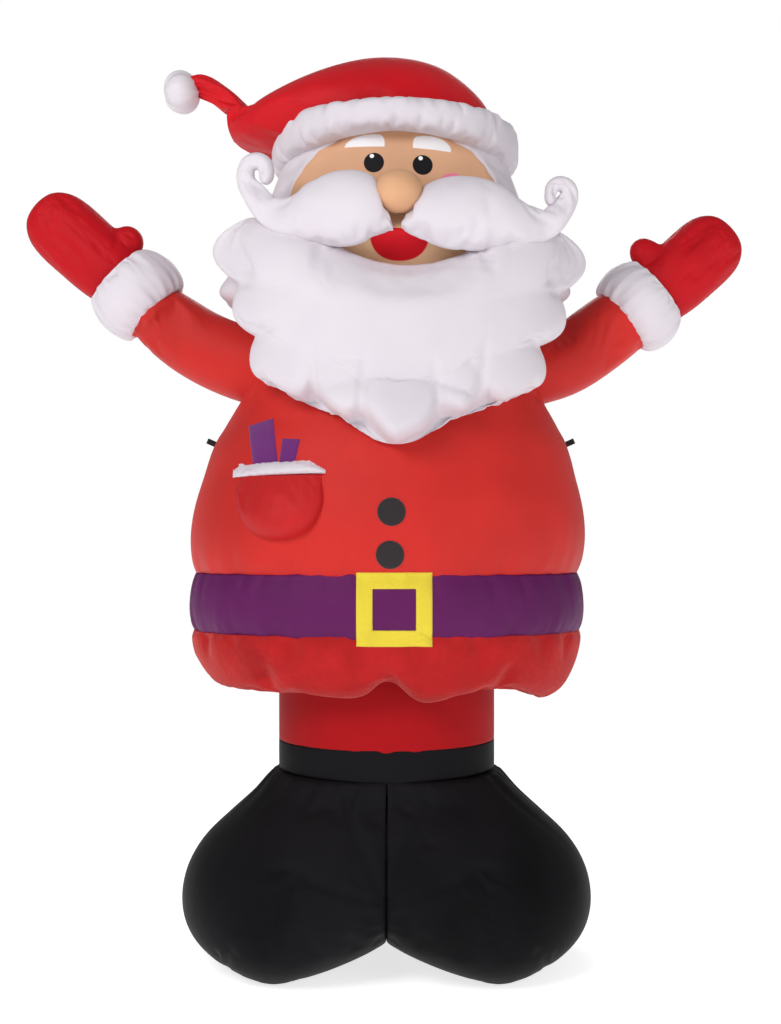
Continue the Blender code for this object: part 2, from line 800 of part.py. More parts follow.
def make_mitten(name, wrist, reach, thumb, material):
    direction = Vector((reach[0], 0, reach[1]))
    along = direction.normalized()
    across = Vector((-along.z, 0, along.x))
    rings = []
    profile = ((-0.12, 0.85), (0.15, 0.97), (0.38, 1.0), (0.62, 1.0), (0.78, 0.93), (0.89, 0.76))
    profile += ((0.96, 0.51), (1.0, 0.22))
    for share, wide in profile:
        centre = wrist + direction * share
        half_depth = MITTEN_HALF_DEPTH * wide**1.1
        rings.append(section(centre, across, MITTEN_HALF_WIDTH * wide, half_depth, LIMB_SIDES))
    hand = loft(name, rings, material)
    start, tip, thick, thin = thumb
    root = wrist + Vector((start[0], 0, start[1]))
    end = wrist + Vector((tip[0], 0, tip[1]))
    way = end - root
    side = Vector((-way.z, 0, way.x))
    rings = []
    for share, wide in ((0.0, 1.0), (0.55, 1.0), (0.82, 0.90), (0.94, 0.66), (1.0, 0.28)):
        radius = (thick + (thin - thick) * share) * wide
        rings.append(section(root + way * share, side, radius, radius * 0.85, TAIL_SIDES))
    stub = loft(name + "_thumb", rings, material)
    hide(stub)
    boolean(hand, stub, "UNION")
    return hand


def make_pocket(material):
    """A puffed half-round pocket on the chest, closed to the coat all round."""
    columns, rows = 8, 6
    front, back = [], []
    for j in range(rows + 1):
        v = math.sin(math.pi / 2 * j / rows)
        half = POCKET_WIDTH / 2 * max(1 - v**2.6, 0.0004) ** 0.42
        for i in range(columns + 1):
            u = math.sin(math.pi / 2 * (2 * i / columns - 1))
            x = POCKET_X + half * u
            z = BELT_TOP + POCKET_TOP_HEIGHT - POCKET_DROP * v
            puff = POCKET_BULGE * max(0.0, 1 - u**2) ** 0.5 * math.sqrt(max(0.0, 1 - v**2.2))
            puff *= min(1.0, 0.30 + 1.9 * v)
            seat = coat_front(x, z)
            front.append(Vector((x, seat - 2 * GAP - PATCH_THICKNESS / 2 - puff, z)))
            back.append(Vector((x, seat + 0.02, z)))
    return close_sheet("pocket", front, back, columns, rows, material)


def make_pocket_trim(material):
    """The white strip sewn along the pocket's mouth."""
    columns, rows = 8, 4
    front, back = [], []
    top = BELT_TOP + POCKET_TOP_HEIGHT
    for j in range(rows + 1):
        v = 0.5 - 0.5 * math.cos(math.pi * j / rows)
        for i in range(columns + 1):
            u = math.sin(math.pi / 2 * (2 * i / columns - 1))
            x = POCKET_X + (POCKET_WIDTH / 2 + 0.004) * u
            z = top + GAP + TRIM_HEIGHT * (1 - v) * min(1.0, 5 * (1 - u**2) + 0.25)
            mouth = POCKET_BULGE * 0.30 * max(0.0, 1 - u**2) ** 0.5
            puff = TRIM_BULGE * pillow(v, 2.4) * max(0.0, 1 - u**2) ** 0.3
            seat = coat_front(x, z)
            stand = mouth * v
            front.append(Vector((x, seat - 2 * GAP - PATCH_THICKNESS / 2 - stand - puff, z)))
            back.append(Vector((x, seat + 0.012, z)))
    return close_sheet("pocket_trim", front, back, columns, rows, material)


def patch_on_coat(name, columns, rows, place, material):
    """A thin piece of cloth lying on the coat; place(u, v) gives its x and z."""
    front, back = [], []
    border_inset = 0.5
    for j in range(rows + 1):
        for i in range(columns + 1):
            x, z = place(i / columns, j / rows)
            seat = coat_front(x, z)
            inside = 0 < i < columns and 0 < j < rows
            thick = PATCH_THICKNESS * (1 if inside else border_inset)
            front.append(Vector((x, seat - 2 * GAP - thick, z)))
            back.append(Vector((x, seat + 0.004, z)))
    return close_sheet(name, front, back, columns, rows, material)


def make_gift(name, shape, material):
    left_top, right_top, left_foot_x, right_foot_x = shape
    foot = TRIM_HEIGHT + 3 * GAP
    high_left, high_right = Vector(left_top), Vector(right_top)
    low_left, low_right = Vector((left_foot_x, foot)), Vector((right_foot_x, foot))

    def place(u, v):
        high = high_left + (high_right - high_left) * u
        low = low_left + (low_right - low_left) * u
        spot = high + (low - high) * v
        return POCKET_X + spot.x, BELT_TOP + POCKET_TOP_HEIGHT + spot.y

    return patch_on_coat(name, 4, 6, place, material)


def make_button(name, height, material):
    """A flat round button patch on the coat's middle line."""
    rings = []
    z0 = BELT_TOP + height
    for inset, depth in ((1.0, -0.004), (1.0, PATCH_THICKNESS * 0.6), (0.93, PATCH_THICKNESS)):
        ring = []
        for n in range(LIMB_SIDES):
            turn = 2 * math.pi * n / LIMB_SIDES
            x = lean(z0) + 0.012 + BUTTON_RADIUS * inset * math.cos(turn)
            z = z0 + BUTTON_RADIUS * inset * math.sin(turn)
            ring.append(Vector((x, coat_front(x, z) - 2 * GAP - depth, z)))
        rings.append(ring)
    return loft(name, rings, material)


def make_buckle(material):
    """A square yellow frame across the belt, bent to the belt's front."""
    middle_x = LOWER_X + 0.030
    middle_z = BELT_LOW + BELT_HEIGHT * 0.455
    corners = 5
    rows = []
    for half_w, half_h in (
        (BUCKLE_WIDTH / 2, BUCKLE_HEIGHT / 2),
        (BUCKLE_WIDTH / 2 - BUCKLE_BAR, BUCKLE_HEIGHT / 2 - BUCKLE_BAR),
    ):
        ring = []
        for side in range(4):
            for n in range(corners):
                s = 2 * n / corners - 1
                x, z = ((s, 1), (1, -s), (-s, -1), (-1, s))[side]
                ring.append((middle_x + x * half_w, middle_z + z * half_h))
        rows.append(ring)
    count = len(rows[0])
    points = []
    for depth in (0.0, PATCH_THICKNESS):
        for ring in rows:
            for x, z in ring:
                across = abs(x - LOWER_X) / BODY_HALF_WIDTH
                y = -BODY_FRONT * (1 - across**BODY_SQUARENESS) ** (1 / BODY_SQUARENESS)
                points.append(Vector((x, y - 0.0015 - depth, z)))
    faces = []
    for n in range(count):
        m = (n + 1) % count
        back_out, back_in, front_out, front_in = (k * count for k in range(4))
        faces.append((back_out + n, back_out + m, back_in + m, back_in + n))
        faces.append((front_out + n, front_in + n, front_in + m, front_out + m))
        faces.append((back_out + n, front_out + n, front_out + m, back_out + m))
        faces.append((back_in + n, back_in + m, front_in + m, front_in + n))
    return make_piece("belt_buckle", points, faces, material)


def make_tether_loop(name, side, height, coat_room, material):
    """A webbing loop in the side seam: a folded strap, open through its width."""
    width, _, _ = smooth_value(COAT_PROFILE, height / COAT_HEIGHT)
    z = BELT_TOP + height
    root = Vector((lean(z) + side * (BODY_HALF_WIDTH * width - 0.012), 0.0, z))
    out = Vector((side * math.cos(LOOP_TILT), 0, math.sin(LOOP_TILT)))
    seam = Vector((-out.z * side, 0, out.x * side))
    half_open = LOOP_OPEN / 2
    steps = 8
    outline = []
    for offset in (half_open + STRAP_THICKNESS, half_open):
        line = [(0.0, -offset)]
        for n in range(steps + 1):
            turn = -math.pi / 2 + math.pi * n / steps
            along = 0.012 + LOOP_REACH - half_open + offset * math.cos(turn)
            line.append((along, offset * math.sin(turn)))
        line.append((0.0, offset))
        outline.append(line)
    outer, inner = outline
    count = len(outer)
    points = []
    for edge in (-STRAP_WIDTH / 2, STRAP_WIDTH / 2):
        for line in (outer, inner):
            for along, aside in line:
                points.append(root + out * along + Vector((0, aside, 0)) + seam * edge)
    faces = []
    for n in range(count - 1):
        low_out, low_in, high_out, high_in = (k * count for k in range(4))
        faces.append((low_out + n, low_out + n + 1, low_in + n + 1, low_in + n))
        faces.append((high_out + n, high_in + n, high_in + n + 1, high_out + n + 1))
        faces.append((low_out + n, high_out + n, high_out + n + 1, low_out + n + 1))
        faces.append((low_in + n, low_in + n + 1, high_in + n + 1, high_in + n))
    for n in (0, count - 1):
        faces.append((n, count + n, 3 * count + n, 2 * count + n))
    loop = make_piece(name, points, faces, material)
    make_room(loop, coat_room)
    return loop


def centre_on_origin():
    """Shifts the whole figure level, so that the middle of its outer box stands on the origin."""
    bpy.context.view_layer.update()
    graph = bpy.context.evaluated_depsgraph_get()
    corners = []
    for thing in bpy.data.objects:
        if not thing.hide_render:
            corners += [Vector(corner) for corner in thing.evaluated_get(graph).bound_box]
    for axis in (0, 1):
        low = min(corner[axis] for corner in corners)
        high = max(corner[axis] for corner in corners)
        for thing in bpy.data.objects:
            thing.location[axis] -= (low + high) / 2


def main():
    clear_scene()
    red = fabric("red_nylon", (0.62, 0.025, 0.02))
    plush = fabric("red_plush", (0.50, 0.02, 0.02), 0.85)
    white = fabric("white_nylon", (0.80, 0.77, 0.80))
    black = fabric("black_nylon", (0.012, 0.012, 0.014), 0.5)
    purple = fabric("purple_nylon", (0.10, 0.02, 0.13))
    yellow = fabric("yellow_felt", (0.83, 0.68, 0.05), 0.75)
    skin = fabric("skin", (0.66, 0.37, 0.20))
    grey = fabric("button_felt", (0.05, 0.05, 0.05), 0.8)
    webbing = fabric("black_webbing", (0.02, 0.02, 0.02), 0.7)

    make_boot("boot_left", 1, black)
    make_boot("boot_right", -1, black)
    make_leg_piece("boot_band", BAND_LOW + GAP, BAND_TOP, black, BAND_SWELL)
    ceiling = HEM + SKIRT_HEIGHT * SKIRT_CEILING
    make_leg_piece("trousers", BAND_TOP + GAP, ceiling - GAP, red, 1.0)
    make_skirt(plush)
    make_belt(purple)
    coat = make_coat(red)
    coat_room = grown(coat)
    make_buckle(yellow)
    for name, height in zip(("button_upper", "button_lower"), BUTTON_HEIGHTS):
        make_room(make_button(name, height, grey), coat_room)

    pocket = make_pocket(red)
    pocket_room = grown(pocket)
    make_room(pocket, coat_room)
    make_room(make_pocket_trim(white), coat_room, pocket_room)
    for name, shape in GIFTS.items():
        make_room(make_gift(name, shape, purple), coat_room)

    arm_rooms = []
    for side, path, cuff_reach, mitten_reach, thumb in (
        ("right", ARM_RIGHT, CUFF_REACH_RIGHT, MITTEN_REACH_RIGHT, THUMB_RIGHT),
        ("left", ARM_LEFT, CUFF_REACH_LEFT, MITTEN_REACH_LEFT, THUMB_LEFT),
    ):
        sleeve = make_sleeve("sleeve_" + side, path, cuff_reach, red)
        arm_rooms.append(grown(sleeve))
        make_room(sleeve, coat_room)
        end, _ = arm_frame(path)
        cuff_room = grown(make_cuff("cuff_" + side, end, cuff_reach, white))
        wrist = end + Vector((cuff_reach[0], 0, cuff_reach[1]))
        hand_way = Vector((mitten_reach[0], 0, mitten_reach[1])).normalized()
        wrist += Vector((math.copysign(hand_way.z, hand_way.x), 0, -abs(hand_way.x))) * MITTEN_SHIFT
        mitten = make_mitten("mitten_" + side, wrist, mitten_reach, thumb, red)
        make_room(mitten, cuff_room)

    hair, head_room = make_head(skin, white)
    make_room(hair, *arm_rooms)
    beard = make_beard(white)
    beard_room = grown(beard)
    make_room(beard, coat_room, head_room, *arm_rooms)

    whisker_rooms = []
    for name, side, table in (
        ("moustache_right", -1, MOUSTACHE_RIGHT),
        ("moustache_left", 1, MOUSTACHE_LEFT),
    ):
        half = make_moustache(name, side, table, white)
        whisker_rooms.append(grown(half))
        make_room(half, head_room, beard_room)
    nose_at = Vector((HEAD_X + NOSE_X, -NOSE_REACH, NECK + NOSE_HEIGHT))
    nose_radii = (NOSE_RADIUS, NOSE_RADIUS * 1.1, NOSE_HALF_HEIGHT)
    nose = make_ball("nose", nose_at, nose_radii, 12, 8, skin)
    make_room(nose, head_room, *whisker_rooms)

    hat = make_hat(red)
    hat_room = grown(hat)
    make_room(make_hat_band(white), hat_room, head_room)
    pompom_at = Vector((HEAD_X + POMPOM_AT[0], 0, HAT_SEAM + POMPOM_AT[1]))
    radii = (POMPOM_RADIUS * 0.72, POMPOM_RADIUS * 0.85, POMPOM_RADIUS)
    pompom = make_ball("pompom", pompom_at, radii, 12, 8, white)
    make_room(pompom, hat_room)

    make_tether_loop("tether_loop_right", -1, LOOP_HEIGHT, coat_room, webbing)
    make_tether_loop("tether_loop_left", 1, LOOP_HEIGHT, coat_room, webbing)
    centre_on_origin()


main()
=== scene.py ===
"""The looks of a tall inflatable santa: every sewn panel blown up, puckered at its seams and finished.

Metres, +Z up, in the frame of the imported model. The figure looks along -Y, its left hand at +X.
"""

import json
import math

import bmesh
import bpy
import numpy as np
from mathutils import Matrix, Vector
from mathutils.bvhtree import BVHTree

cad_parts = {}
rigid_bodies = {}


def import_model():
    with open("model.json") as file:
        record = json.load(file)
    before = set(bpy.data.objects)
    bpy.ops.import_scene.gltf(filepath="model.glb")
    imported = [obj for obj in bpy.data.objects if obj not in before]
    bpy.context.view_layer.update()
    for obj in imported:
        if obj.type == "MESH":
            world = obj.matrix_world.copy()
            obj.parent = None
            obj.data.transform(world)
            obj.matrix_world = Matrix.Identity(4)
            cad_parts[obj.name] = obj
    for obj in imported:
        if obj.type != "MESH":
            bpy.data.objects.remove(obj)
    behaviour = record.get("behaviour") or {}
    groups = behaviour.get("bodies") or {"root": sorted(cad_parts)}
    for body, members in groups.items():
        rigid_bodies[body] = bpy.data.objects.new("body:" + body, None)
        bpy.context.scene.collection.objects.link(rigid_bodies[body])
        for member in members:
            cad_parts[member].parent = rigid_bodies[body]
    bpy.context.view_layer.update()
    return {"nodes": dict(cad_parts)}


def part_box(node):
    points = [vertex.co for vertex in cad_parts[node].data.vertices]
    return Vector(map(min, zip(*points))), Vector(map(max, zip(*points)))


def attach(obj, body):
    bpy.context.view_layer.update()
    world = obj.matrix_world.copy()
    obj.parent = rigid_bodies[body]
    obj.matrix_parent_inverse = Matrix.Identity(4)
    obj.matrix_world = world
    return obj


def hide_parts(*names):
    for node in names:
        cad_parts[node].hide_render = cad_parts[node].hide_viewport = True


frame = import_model()


def middle_of(node):
    low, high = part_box(node)
    return (Vector(low) + Vector(high)) / 2


# Seam heights and the body's size, from the frame
BAND_LOW, BAND_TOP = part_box("boot_band")[0][2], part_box("boot_band")[1][2]
BELT_LOW, BELT_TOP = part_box("belt")[0][2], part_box("belt")[1][2]
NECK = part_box("coat")[1][2]
HAT_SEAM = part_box("hat")[0][2]
LEG_SHOWING = 0.207
HEM = BAND_TOP + LEG_SHOWING
SKIRT_HEIGHT = BELT_LOW - HEM
BELT_HEIGHT = BELT_TOP - BELT_LOW
COAT_HEIGHT = NECK - BELT_TOP
HEAD_HEIGHT = HAT_SEAM - NECK

BOOT_OUTER = 0.834
BOOT_TOE = 0.670
BOOT_HEEL = 0.480
BOOT_POWER = 0.93
LEG_HALF_WIDTH = 0.443
LEG_HALF_DEPTH = 0.425
BODY_HALF_WIDTH = 0.807
BODY_FRONT = 0.640
BODY_BACK = 0.520
HAIR_HALF_WIDTH = 0.735
HAIR_BACK = 0.510
FACE_FRONT = 0.425
SQUARENESS = 2.15
HEAD_SQUARENESS = 2.1

# How far the middle of the figure stands off its own x = 0, and that x = 0 in the frame
LOWER_X = 0.013
HEAD_X = 0.047
ORIGIN = Vector((middle_of("belt").x - LOWER_X, middle_of("belt").y + (BODY_FRONT - BODY_BACK) / 2, 0))

# Spacing of the cloth's points before the last smoothing
CLOTH_GRID = 0.023
# How far neighbouring tubes run on under each other at a seam
SEAM_LAP = 0.008
# How far from a seam that crosses the coat its points are pinned, and how far from a loop's root
SEAM_REACH = 0.010
LOOP_REACH = 0.022

# (share of height, width, front, back), as shares of the body's widest
COAT_PROFILE = (
    (0.000, 0.967, 0.961, 0.962),
    (0.055, 0.989, 0.988, 0.990),
    (0.132, 1.000, 1.000, 1.000),
    (0.209, 0.994, 0.995, 0.998),
    (0.286, 0.975, 0.977, 0.981),
    (0.373, 0.943, 0.938, 0.942),
    (0.499, 0.895, 0.875, 0.885),
    (0.585, 0.833, 0.813, 0.827),
    (0.662, 0.778, 0.758, 0.769),
    (0.759, 0.712, 0.688, 0.712),
    (0.855, 0.632, 0.609, 0.635),
    (0.932, 0.533, 0.531, 0.558),
    (1.000, 0.409, 0.438, 0.481),
)
BELT_PROFILE = (
    (0.00, 0.976, 0.970, 0.972),
    (0.15, 0.993, 0.990, 0.990),
    (0.40, 1.000, 1.000, 1.000),
    (0.75, 0.990, 0.990, 0.990),
    (1.00, 0.967, 0.961, 0.962),
)
SKIRT_PROFILE = (
    (1.00, 0.978, 0.972, 0.974),
    (0.85, 0.986, 0.982, 0.984),
    (0.55, 0.966, 0.962, 0.966),
    (0.30, 0.932, 0.925, 0.955),
    (0.14, 0.895, 0.885, 0.940),
    (0.03, 0.840, 0.825, 0.915),
    (0.00, 0.790, 0.770, 0.890),
)
SKIRT_STEPS = 22
# Share of the skirt's height at which the hem's folds have faded out
HEM_FADE = 0.6
# The hem is tucked up inside the skirt: steps, first height and rise as shares, bulge, gap to the leg
TUCK_STEPS = 11
TUCK_LOW = 0.03
TUCK_RISE = 0.16
TUCK_BULGE = 0.02
LEG_GAP = 0.004
# (place round the figure in degrees, lift, width in degrees)
HEM_FOLDS = (
    (1, 0.054, 8.5),
    (17, -0.016, 9),
    (-45, 0.014, 16),
    (45, 0.026, 14),
    (76, -0.030, 14),
    (-80, 0.010, 16),
)
BOOT_PROFILE = (
    (0.00, 0.70, 0.47, 0.70, 0.72),
    (0.04, 0.80, 0.25, 0.79, 0.82),
    (0.10, 0.89, 0.06, 0.885, 0.91),
    (0.18, 0.96, -0.10, 0.96, 0.97),
    (0.28, 0.995, -0.24, 1.0, 1.0),
    (0.40, 0.995, -0.38, 0.995, 0.985),
    (0.52, 0.96, -0.50, 0.95, 0.965),
    (0.64, 0.885, -0.61, 0.87, 0.94),
    (0.76, 0.765, -0.73, 0.785, 0.92),
    (0.88, 0.64, -0.86, 0.70, 0.90),
    (1.00, 0.545, -1.0, 0.64, 0.885),
)


BLOW_UP_FRAMES = 16
CLOTH_STIFFNESS = 25.0
CLOTH_DAMPING = 8.0
# Points kept back beside seams that cross a panel, by piece
HELD = {}
# Share of the swelling that is taken back, so that a blown-up piece keeps its size between the seams
KEEP_SIZE = 0.8

# A boot seam's groove: depth, width, how wide the swelling is kept back, and the pinned width
BOOT_SEAM_DEPTH = 0.022
BOOT_SEAM_WIDTH = 0.013
BOOT_SEAM_HOLD = 0.016
BOOT_SEAM_PIN = 0.007
BOOT_FRONT = -0.12
# Boot seams on the front as seen: lines of (outwards from the middle seam, height)
BOOT_SEAMS = (
    ((0.155, 0.700), (0.120, 0.590), (0.060, 0.470), (0.008, 0.355)),
    ((0.030, 0.345), (0.150, 0.385), (0.290, 0.430), (0.330, 0.460), (0.372, 0.385), (0.390, 0.220)),
    ((0.600, 0.120), (0.612, 0.050)),
)

ARM_RADIUS = 0.160
SLEEVE_END_RADIUS = 0.141
CUFF_RADIUS = 0.191
CUFF_LAP = 0.022
CUFF_FLATNESS = 0.92
CUFF_RIM_RADIUS = 0.150
MITTEN_HALF_WIDTH = 0.146
MITTEN_HALF_DEPTH = 0.112
MITTEN_SHIFT = 0.013
MITTEN_SEAM_WIDTH = 0.018
WRIST_LAP = 0.10
THUMB_FLATNESS = 0.80
ARM_RIGHT = ((-0.450, -0.215), (-0.640, -0.170), (-0.810, -0.095), (-0.984, 0.030))
ARM_LEFT = ((0.430, -0.225), (0.590, -0.190), (0.730, -0.140), (0.933, -0.002))
CUFF_REACH_RIGHT = (-0.156, 0.159)
CUFF_REACH_LEFT = (0.1515, 0.124)
MITTEN_REACH_RIGHT = (-0.334, 0.303)
MITTEN_REACH_LEFT = (0.297, 0.271)
MITTEN_SHAPE = (
    (-0.12, 0.85),
    (0.15, 0.97),
    (0.38, 1.00),
    (0.62, 1.00),
    (0.78, 0.93),
    (0.89, 0.76),
    (0.96, 0.51),
    (1.00, 0.10),
)
THUMB_RIGHT = ((-0.072, 0.054), (0.095, 0.189), 0.080, 0.073)
THUMB_LEFT = ((0.037, 0.079), (-0.109, 0.213), 0.077, 0.061)
LOOP_HEIGHT = 0.520

POCKET_WIDTH = 0.356
POCKET_DROP = 0.255
POCKET_BULGE = 0.085
POCKET_FULLNESS = 0.012
POCKET_X = -0.393
POCKET_TOP = BELT_TOP + 0.385
TRIM_HEIGHT = 0.046
TRIM_BULGE = 0.024
BUTTON_RADIUS = 0.053
BUTTON_HEIGHTS = (0.237, 0.077)
BUTTON_ASIDE = 0.012
BUTTON_THICKNESS = 0.0055
BUTTON_GRID = (26, 26)
BUCKLE_WIDTH = 0.283
BUCKLE_HEIGHT = 0.276
BUCKLE_BAR = 0.061
BUCKLE_THICKNESS = 0.005
BUCKLE_ASIDE = 0.030
# Height of the buckle's middle, as a share of the belt's
BUCKLE_SHARE = 0.455
GIFT_THICKNESS = 0.0045
GIFT_GRID = (18, 34)
# How far a strip runs down behind the trim
GIFT_LAP = 0.012
GIFTS = {
    "gift_stick_tall": ((-0.132, 0.192), (-0.030, 0.217), -0.104, -0.004),
    "gift_stick_short": ((0.010, 0.134), (0.080, 0.129), -0.001, 0.060),
}

HEAD_PROFILE = (
    (0.00, 0.60, 0.66, 0.70),
    (0.06, 0.88, 0.78, 0.90),
    (0.15, 1.00, 0.86, 0.98),
    (0.27, 0.935, 0.93, 1.00),
    (0.42, 0.831, 0.975, 0.985),
    (0.57, 0.755, 1.00, 0.965),
    (0.72, 0.701, 1.00, 0.94),
    (0.87, 0.647, 0.965, 0.90),
    (1.00, 0.599, 0.918, 0.843),
)
LOCKS = 8
LOCK_DEPTH = 0.13
LOCK_HEIGHT = 0.32
FACE_HALF_WIDTH = 0.425
FACE_HALF_HEIGHT = 0.312
FACE_RISE = 0.338
# How far the hair lies behind the face panel, and how far the panel runs up under the hat
FACE_SUNK = 0.025
FACE_LAP = 0.030
FACE_THICKNESS = 0.035
# The panel swells forwards round the mouth
CHIN_REACH = 0.095
CHIN_HEIGHT = 0.275
CHIN_HALF_HEIGHT = 0.060
CHIN_HALF_WIDTH = 0.25
FACE_HEIGHT = 0.365
FACE_SQUARENESS = 2.3

BEARD_SIDES = (
    (((-0.564, 0.341), 0.135), ((-0.606, 0.087), 0.060), ((-0.542, -0.115), 0.075)),
    (
        ((-0.433, -0.322), 0.012),
        ((-0.208, -0.436), 0.004),
        ((-0.090, -0.520), 0.028),
        ((0.098, -0.520), 0.004),
        ((0.214, -0.445), 0.012),
    ),
    (((0.447, -0.342), 0.085), ((0.559, -0.152), 0.070), ((0.639, 0.051), 0.130)),
    (((0.615, 0.303), 0.030), ((0.247, 0.190), -0.046), ((-0.173, 0.200), 0.030)),
)
BEARD_LOWEST = -0.555
CHANNEL_START = 0.30
# Channels between the lower puffs: x at the lower end, x at the upper end, share of the height
BEARD_CHANNELS = (
    (-0.302, -0.309, 0.34),
    (-0.135, -0.105, 0.33),
    (0.160, 0.142, 0.30),
    (0.306, 0.340, 0.36),
)
BEARD_HEIGHT = 0.890
BEARD_THICKNESS = 0.165
BEARD_BACK = 0.20
# The beard's sewn rim: y at its sides, how far its middle stands forwards, over which half width,
# and how far under the neck it starts to hang down onto the coat
BEARD_SIDE_Y = -0.16
BEARD_ROUND = 0.34
BEARD_ROUND_WIDTH = 0.80
BEARD_HANG = 0.05
# How much the grid's columns and rows crowd at the beard's edge
EDGE_CROWDING = 0.04
CHANNEL_DEPTH = 0.10
# Where the beard's lower edge is notched, and how high the thin sewn web stands there
BEARD_NOTCHES = (-0.305, -0.119, 0.178, 0.341)
WEB_HEIGHT = 0.048
WEB_LOW = 0.018
WEB_HALF_WIDTH = 0.055
CHANNEL_WIDTH = 0.016

MOUSTACHE_RIGHT = (
    (0.008, -0.060, 0.010),
    (0.032, -0.027, 0.048),
    (0.072, 0.014, 0.106),
    (0.136, 0.019, 0.137),
    (0.212, 0.012, 0.142),
    (0.288, 0.000, 0.124),
    (0.356, -0.014, 0.097),
    (0.421, -0.009, 0.076),
    (0.485, 0.022, 0.058),
    (0.537, 0.085, 0.046),
    (0.565, 0.128, 0.038),
    (0.569, 0.166, 0.034),
    (0.557, 0.195, 0.033),
    (0.529, 0.206, 0.033),
    (0.500, 0.195, 0.032),
    (0.488, 0.166, 0.030),
    (0.491, 0.138, 0.027),
    (0.496, 0.118, 0.012),
)
MOUSTACHE_LEFT = (
    (0.022, -0.048, 0.010),
    (0.050, -0.034, 0.046),
    (0.102, -0.008, 0.099),
    (0.184, -0.003, 0.132),
    (0.268, -0.003, 0.140),
    (0.355, -0.012, 0.130),
    (0.431, -0.031, 0.104),
    (0.507, -0.038, 0.079),
    (0.583, -0.026, 0.057),
    (0.628, 0.020, 0.048),
    (0.657, 0.062, 0.040),
    (0.666, 0.094, 0.034),
    (0.655, 0.118, 0.032),
    (0.624, 0.127, 0.029),
    (0.600, 0.113, 0.026),
    (0.592, 0.086, 0.023),
    (0.591, 0.061, 0.020),
    (0.593, 0.044, 0.010),
)
MOUSTACHE_HEIGHT = 0.328
MOUSTACHE_Y = -0.545
MOUSTACHE_WRAP = 0.30
MOUSTACHE_HALF_DEPTH = 0.088

NOSE_RADIUS = 0.092
NOSE_REACH = 0.550
NOSE_HEIGHT = 0.406
NOSE_HALF_HEIGHT = 0.080
NOSE_X = 0.013

HAT_SECTIONS = (
    ((-0.440, 0.000), (0.440, 0.000), 0.335),
    ((-0.520, 0.012), (0.420, 0.105), 0.385),
    ((-0.590, 0.020), (0.348, 0.236), 0.380),
    ((-0.640, 0.040), (0.195, 0.352), 0.355),
    ((-0.668, 0.070), (0.000, 0.392), 0.300),
    ((-0.682, 0.100), (-0.195, 0.364), 0.225),
    ((-0.690, 0.130), (-0.365, 0.292), 0.150),
    ((-0.699, 0.165), (-0.490, 0.215), 0.100),
    ((-0.708, 0.194), (-0.566, 0.205), 0.078),
    ((-0.756, 0.220), (-0.672, 0.296), 0.062),
    ((-0.822, 0.245), (-0.785, 0.345), 0.055),
    ((-0.875, 0.258), (-0.850, 0.340), 0.050),
)
TAIL_START = 8
HAT_BAND_THICKNESS = 0.062
HAT_BAND_HALF_WIDTH = 0.445
HAT_BAND_HALF_DEPTH = 0.432
HAT_BAND_HALF_HEIGHT = 0.0635
HAT_BAND_RISE = 0.030
HAT_BAND_TILT = 1.07
HAT_BAND_FOLDS = 96
HAT_BAND_PUCKER = 0.011
POMPOM_AT = (-0.881, 0.275)
POMPOM_RADIUS = 0.098

# Colours printed on the face panel, and a patch of painted light round the mouth, as (middle x,
# height, half width, half height)
EYES = ((-0.035, 3.150, 0.039, 0.040), (0.153, 3.141, 0.039, 0.040))
EYE_LIGHTS = ((-0.043, 3.177, 0.0085, 0.0085), (0.145, 3.168, 0.0085, 0.0085))
# Brows: two ovals each as (middle x, half width), then height, half height and the lower edge's slope
BROWS = (
    ((-0.034, 0.115), (-0.073, 0.079), 3.216, 0.053, -0.02),
    ((0.168, 0.097), (0.190, 0.074), 3.207, 0.056, -0.065),
)
CHEEKS = ((-0.154, 3.067, 0.060, 0.060), (0.274, 3.052, 0.066, 0.064))
MOUTH = (0.0635, 2.862, 0.1135, 0.090)
MOUTH_TOP = 2.878
# Painted light: the skin round the mouth is painted lighter where the moustache and beard shade it
CHIN_PAINTED_LIGHT = (0.06, 2.850, 0.36, 0.115)
CHEEK_PINK = (0.85, 0.22, 0.33)
BROW_WHITE = (0.86, 0.84, 0.86)
EYE_BLACK = (0.008, 0.008, 0.010)
EYE_WHITE = (0.92, 0.92, 0.92)
# The printed mouth's red, painted lighter than the print as painted light in the moustache's shade
MOUTH_RED_WITH_PAINTED_LIGHT = (0.80, 0.014, 0.026)

# Stage: (name, place, aim, size, watts) of the lamps, and the light of the sky and the floor
LIGHTS = (
    ("key", (-3.2, -5.2, 5.2), (0, 0, 1.9), 3.2, 216),
    ("fill", (4.4, -4.4, 3.0), (0, 0, 1.8), 3.6, 62),
    ("back", (0.5, 4.5, 5.0), (0, 0, 2.0), 3.0, 70),
)
SKY_LIGHT = 0.31
FLOOR_GLOW = 0.74
FLOOR_REACH = 40.0
CAMERA_PLACE = (0.029, -6.0, 1.695)
CAMERA_LENS = 50.99
CAMERA_SHIFT = 28 / 1024

